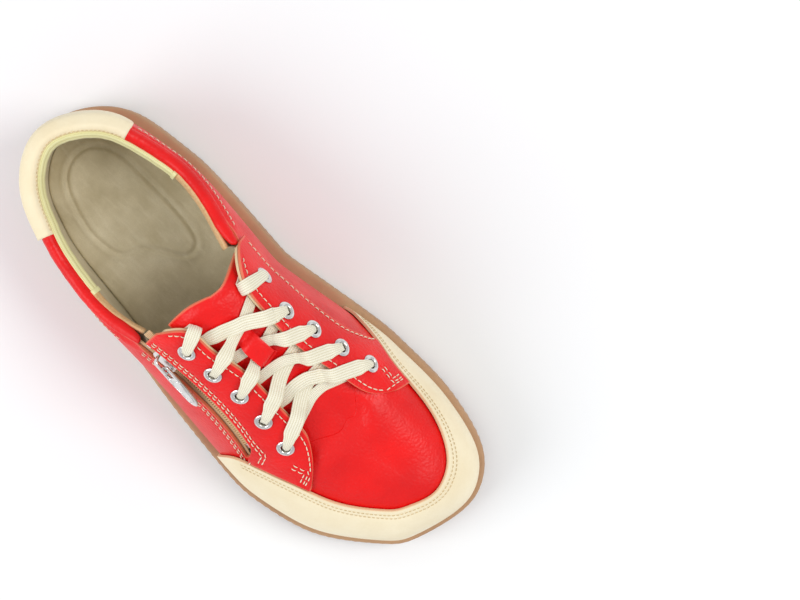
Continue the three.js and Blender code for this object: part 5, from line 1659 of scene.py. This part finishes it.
def cap_faces(first, count, flip):
    """Fills a ring that runs from the toe round the heel and back with strips across the foot."""
    faces = []
    half = count // 2
    for k in range(half):
        a, b = k, k + 1
        c, d = (count - k - 1) % count, (count - k) % count
        quad = [a, b, c, d]
        clean = [v for i, v in enumerate(quad) if v not in quad[:i]]
        if len(clean) > 2:
            faces.append([first + v for v in (clean[::-1] if flip else clean)])
    return faces


def outsole():
    def wave(places, z):
        """Shallow upright flutes round the sole's edge."""
        return 0.18 * (1 + np.sin(places * 2 * math.pi * 75)) * bell(z, 6, 6)
    rows = [[3.0, underside], [1.9, lambda y: underside(y) + 0.1], [1.1, lambda y: underside(y) + 0.6],
            [0.35, lambda y: underside(y) + 1.2], [0, lambda y: underside(y) + 1.9]]
    for share in (0.25, 0.4, 0.55, 0.7, 0.85):
        rows.append([0.05, lambda y, s=share: mix(underside(y) + 1.9, feather_height(y) - 1.6, s)])
    rows += [[0.15, lambda y: feather_height(y) - 1.4], [0.4, lambda y: feather_height(y) - 0.7],
             [0.8, lambda y: feather_height(y) - 0.25], [1.4, lambda y: feather_height(y)],
             [3, lambda y: feather_height(y)], [5, lambda y: feather_height(y)]]
    points = block(rows, ripple=wave)
    n, m = points.shape[:2]
    faces = grid_faces(n, m, close=True).tolist() + cap_faces(0, m, True) + cap_faces((n - 1) * m, m, False)
    made = add("Outsole", points, faces, rubber, ["outsole"])
    tools = bmesh.new()
    arm_length = sole_width * 0.62
    for start, end in ((-122, -50), (14, 118)):
        for y in np.arange(start, end + 0.1, groove_pitch):
            for sign in (1, -1):
                piece = bmesh.ops.create_cube(tools, size=1)
                middle = underside(y) + groove_depth - 4
                turn = (Matrix.Translation((0, y * MM, middle * MM)) @ Matrix.Rotation(sign * tread_angle, 4, "Z")
                        @ Matrix.Translation((sign * (arm_length / 2 - groove_width / 4) * MM, 0, 0))
                        @ Matrix.Diagonal((arm_length * MM, groove_width * MM, 8 * MM, 1)))
                bmesh.ops.transform(tools, matrix=turn, verts=piece["verts"])
    mesh = bpy.data.meshes.new("tread")
    tools.to_mesh(mesh)
    tools.free()
    tool = bpy.data.objects.new("tread", mesh)
    bpy.context.scene.collection.objects.link(tool)
    cutting = made.modifiers.new("tread", "BOOLEAN")
    cutting.operation = "DIFFERENCE"
    cutting.object = tool
    cutting.solver = "EXACT"
    cutting.use_self = True
    shapes = bpy.context.evaluated_depsgraph_get()
    shapes.update()
    made.data = bpy.data.meshes.new_from_object(made.evaluated_get(shapes))
    made.modifiers.remove(cutting)
    bpy.data.objects.remove(tool)
    for face in made.data.polygons:
        face.use_smooth = True
    made.data.set_sharp_from_angle(angle=math.radians(38))
    return made


outsole()


# the edge of the foam insert under the sock, which shows through it round the heel and arch
heel_print = [[-13, -111.5], [-5.3, -112], [3.5, -106.8], [9.3, -95.1], [12.6, -80], [9.9, -65.5], [2, -61],
              [-5.5, -51.4], [-11, -43.5], [-18.8, -44.8], [-22.4, -58], [-23.2, -77], [-22.8, -97], [-18.5, -107.5]]


def footbed():
    """A suede sock over foam: worn hollow under the heel, with a raised arch on the inner side."""
    base = board_rise + board_thickness + board_rise
    top = base + footbed_thickness
    places = np.linspace(0, 1, 420)
    shares = np.linspace(0, 1, 120)
    edge_inset = foot_inset - 1.7
    lx, ly = outline(places, edge_inset)
    rx, ry = outline(-places, edge_inset)
    x = mix(lx[:, None], rx[:, None], shares[None, :])
    y = mix(ly[:, None], ry[:, None], shares[None, :])
    edge = np.minimum(shares, 1 - shares)[None, :] * np.hypot(lx - rx, ly - ry)[:, None]
    edge = np.minimum(edge, np.minimum(y + half_length - edge_inset, half_length - edge_inset - y) + 0.5)
    print_line = curve(heel_print, True)(np.linspace(0, len(heel_print), 400, endpoint=False))
    away = np.full(x.shape, 1e3)
    for px, py in print_line:
        away = np.minimum(away, np.hypot(x - px, y - py))
    ring = -0.75 * bell(away, 0, 0.9) + 0.35 * bell(away, 2.2, 1.2)
    reach = np.hypot((x + 6) / 17, (y + 84) / 25)
    hollow = -0.9 * smooth(1.3 - reach, 0, 0.9)
    arch = 0.5 * bell(np.hypot((x + 26) / 9, (y + 30) / 26), 0, 1)
    wrinkles = 0.12 * np.sin(x * 0.31 + y * 0.17) * np.sin(y * 0.11 - x * 0.07)
    rounded = -1.1 * (1 - np.sqrt(np.clip(edge / 2.2, 0, 1) * (2 - np.clip(edge / 2.2, 0, 1))))
    z_top = feather_height(y) + top - 0.5 + np.minimum(hollow + ring + arch + wrinkles, 0.5) + rounded
    z_low = feather_height(y) + base
    upper = np.stack([x, y, z_top], -1)
    lower = np.stack([x, y, z_low], -1)
    n, m = x.shape
    other = n * m
    border = np.concatenate([np.arange(m), np.arange(1, n) * m + m - 1, (n - 1) * m + np.arange(m - 2, -1, -1),
                             np.arange(n - 2, 0, -1) * m])
    ahead = np.roll(border, -1)
    faces = np.vstack([grid_faces(n, m), grid_faces(n, m, other, True),
                       np.stack([border, ahead, ahead + other, border + other], -1)])
    return add("Footbed", np.vstack([upper.reshape(-1, 3), lower.reshape(-1, 3)]), faces, footbed_suede,
               ["footbed"], weld=0.002)


footbed()

# The hidden structure keeps its CAD shape.
hidden = {"shank": steel, "insole_board": board_look, "toe_puff": board_look, "heel_counter": board_look}
for name, look in hidden.items():
    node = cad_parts[name]
    node.data.materials.clear()
    node.data.materials.append(look)

# ---------------------------------------------------------------- floor, light and camera
scene = bpy.context.scene


def floor():
    mesh = bpy.data.meshes.new("Floor")
    mesh.from_pydata([(-30, -30, 0), (30, -30, 0), (30, 30, 0), (-30, 30, 0)], [], [(0, 1, 2, 3)])
    paper, tree, shader = nodes_of("floor")
    g = Graph(tree)
    mottle = g.noise(g.place(), 3, 2)
    g.link(g.colour(mottle, (0.86, 0.87, 0.88), (0.9, 0.9, 0.9)), shader.inputs["Base Color"])
    shader.inputs["Roughness"].default_value = 0.9
    shader.inputs["Specular IOR Level"].default_value = 0.1
    mesh.materials.append(paper)
    made = bpy.data.objects.new("Floor", mesh)
    scene.collection.objects.link(made)
    made.location = (0, 0, -0.0003)


floor()


def light(name, place, target, size, power, tint=(1, 1, 1)):
    lamp = bpy.data.lights.new(name, "AREA")
    lamp.shape = "DISK"
    lamp.size = size
    lamp.energy = power
    lamp.color = tint
    made = bpy.data.objects.new(name, lamp)
    scene.collection.objects.link(made)
    place, target = Vector(place), Vector(target)
    made.matrix_world = Matrix.Translation(place) @ (target - place).to_track_quat("-Z", "Y").to_matrix().to_4x4()


light("Key", (-0.75, 0.55, 1.3), (0, 0, 0.05), 0.7, 9.5, (1, 0.985, 0.96))
light("Fill", (1.0, -0.55, 1.0), (0, 0, 0.05), 1.0, 9.5, (0.98, 0.99, 1))
world = bpy.data.worlds.new("World")
scene.world = world
world.use_nodes = True
world.node_tree.nodes["Background"].inputs["Color"].default_value = (0.95, 0.97, 1, 1)
world.node_tree.nodes["Background"].inputs["Strength"].default_value = 0.66
scene.view_settings.view_transform = "Standard"

camera_place = Vector((-109.6, 10.95, 1000)) * MM
camera_target = Vector((-64.1, 42.25, 0)) * MM
camera_up = Vector((-0.715, -0.699, 0))
camera = bpy.data.objects.new("Camera", bpy.data.cameras.new("Camera"))
camera.data.sensor_width = 36
camera.data.lens = 95.13
look_along = (camera_target - camera_place).normalized()
camera_right = look_along.cross(camera_up).normalized()
camera_top = camera_right.cross(look_along).normalized()
basis = Matrix((camera_right, camera_top, -look_along)).transposed().to_4x4()
camera.matrix_world = Matrix.Translation(camera_place) @ basis
scene.collection.objects.link(camera)
scene.camera = camera
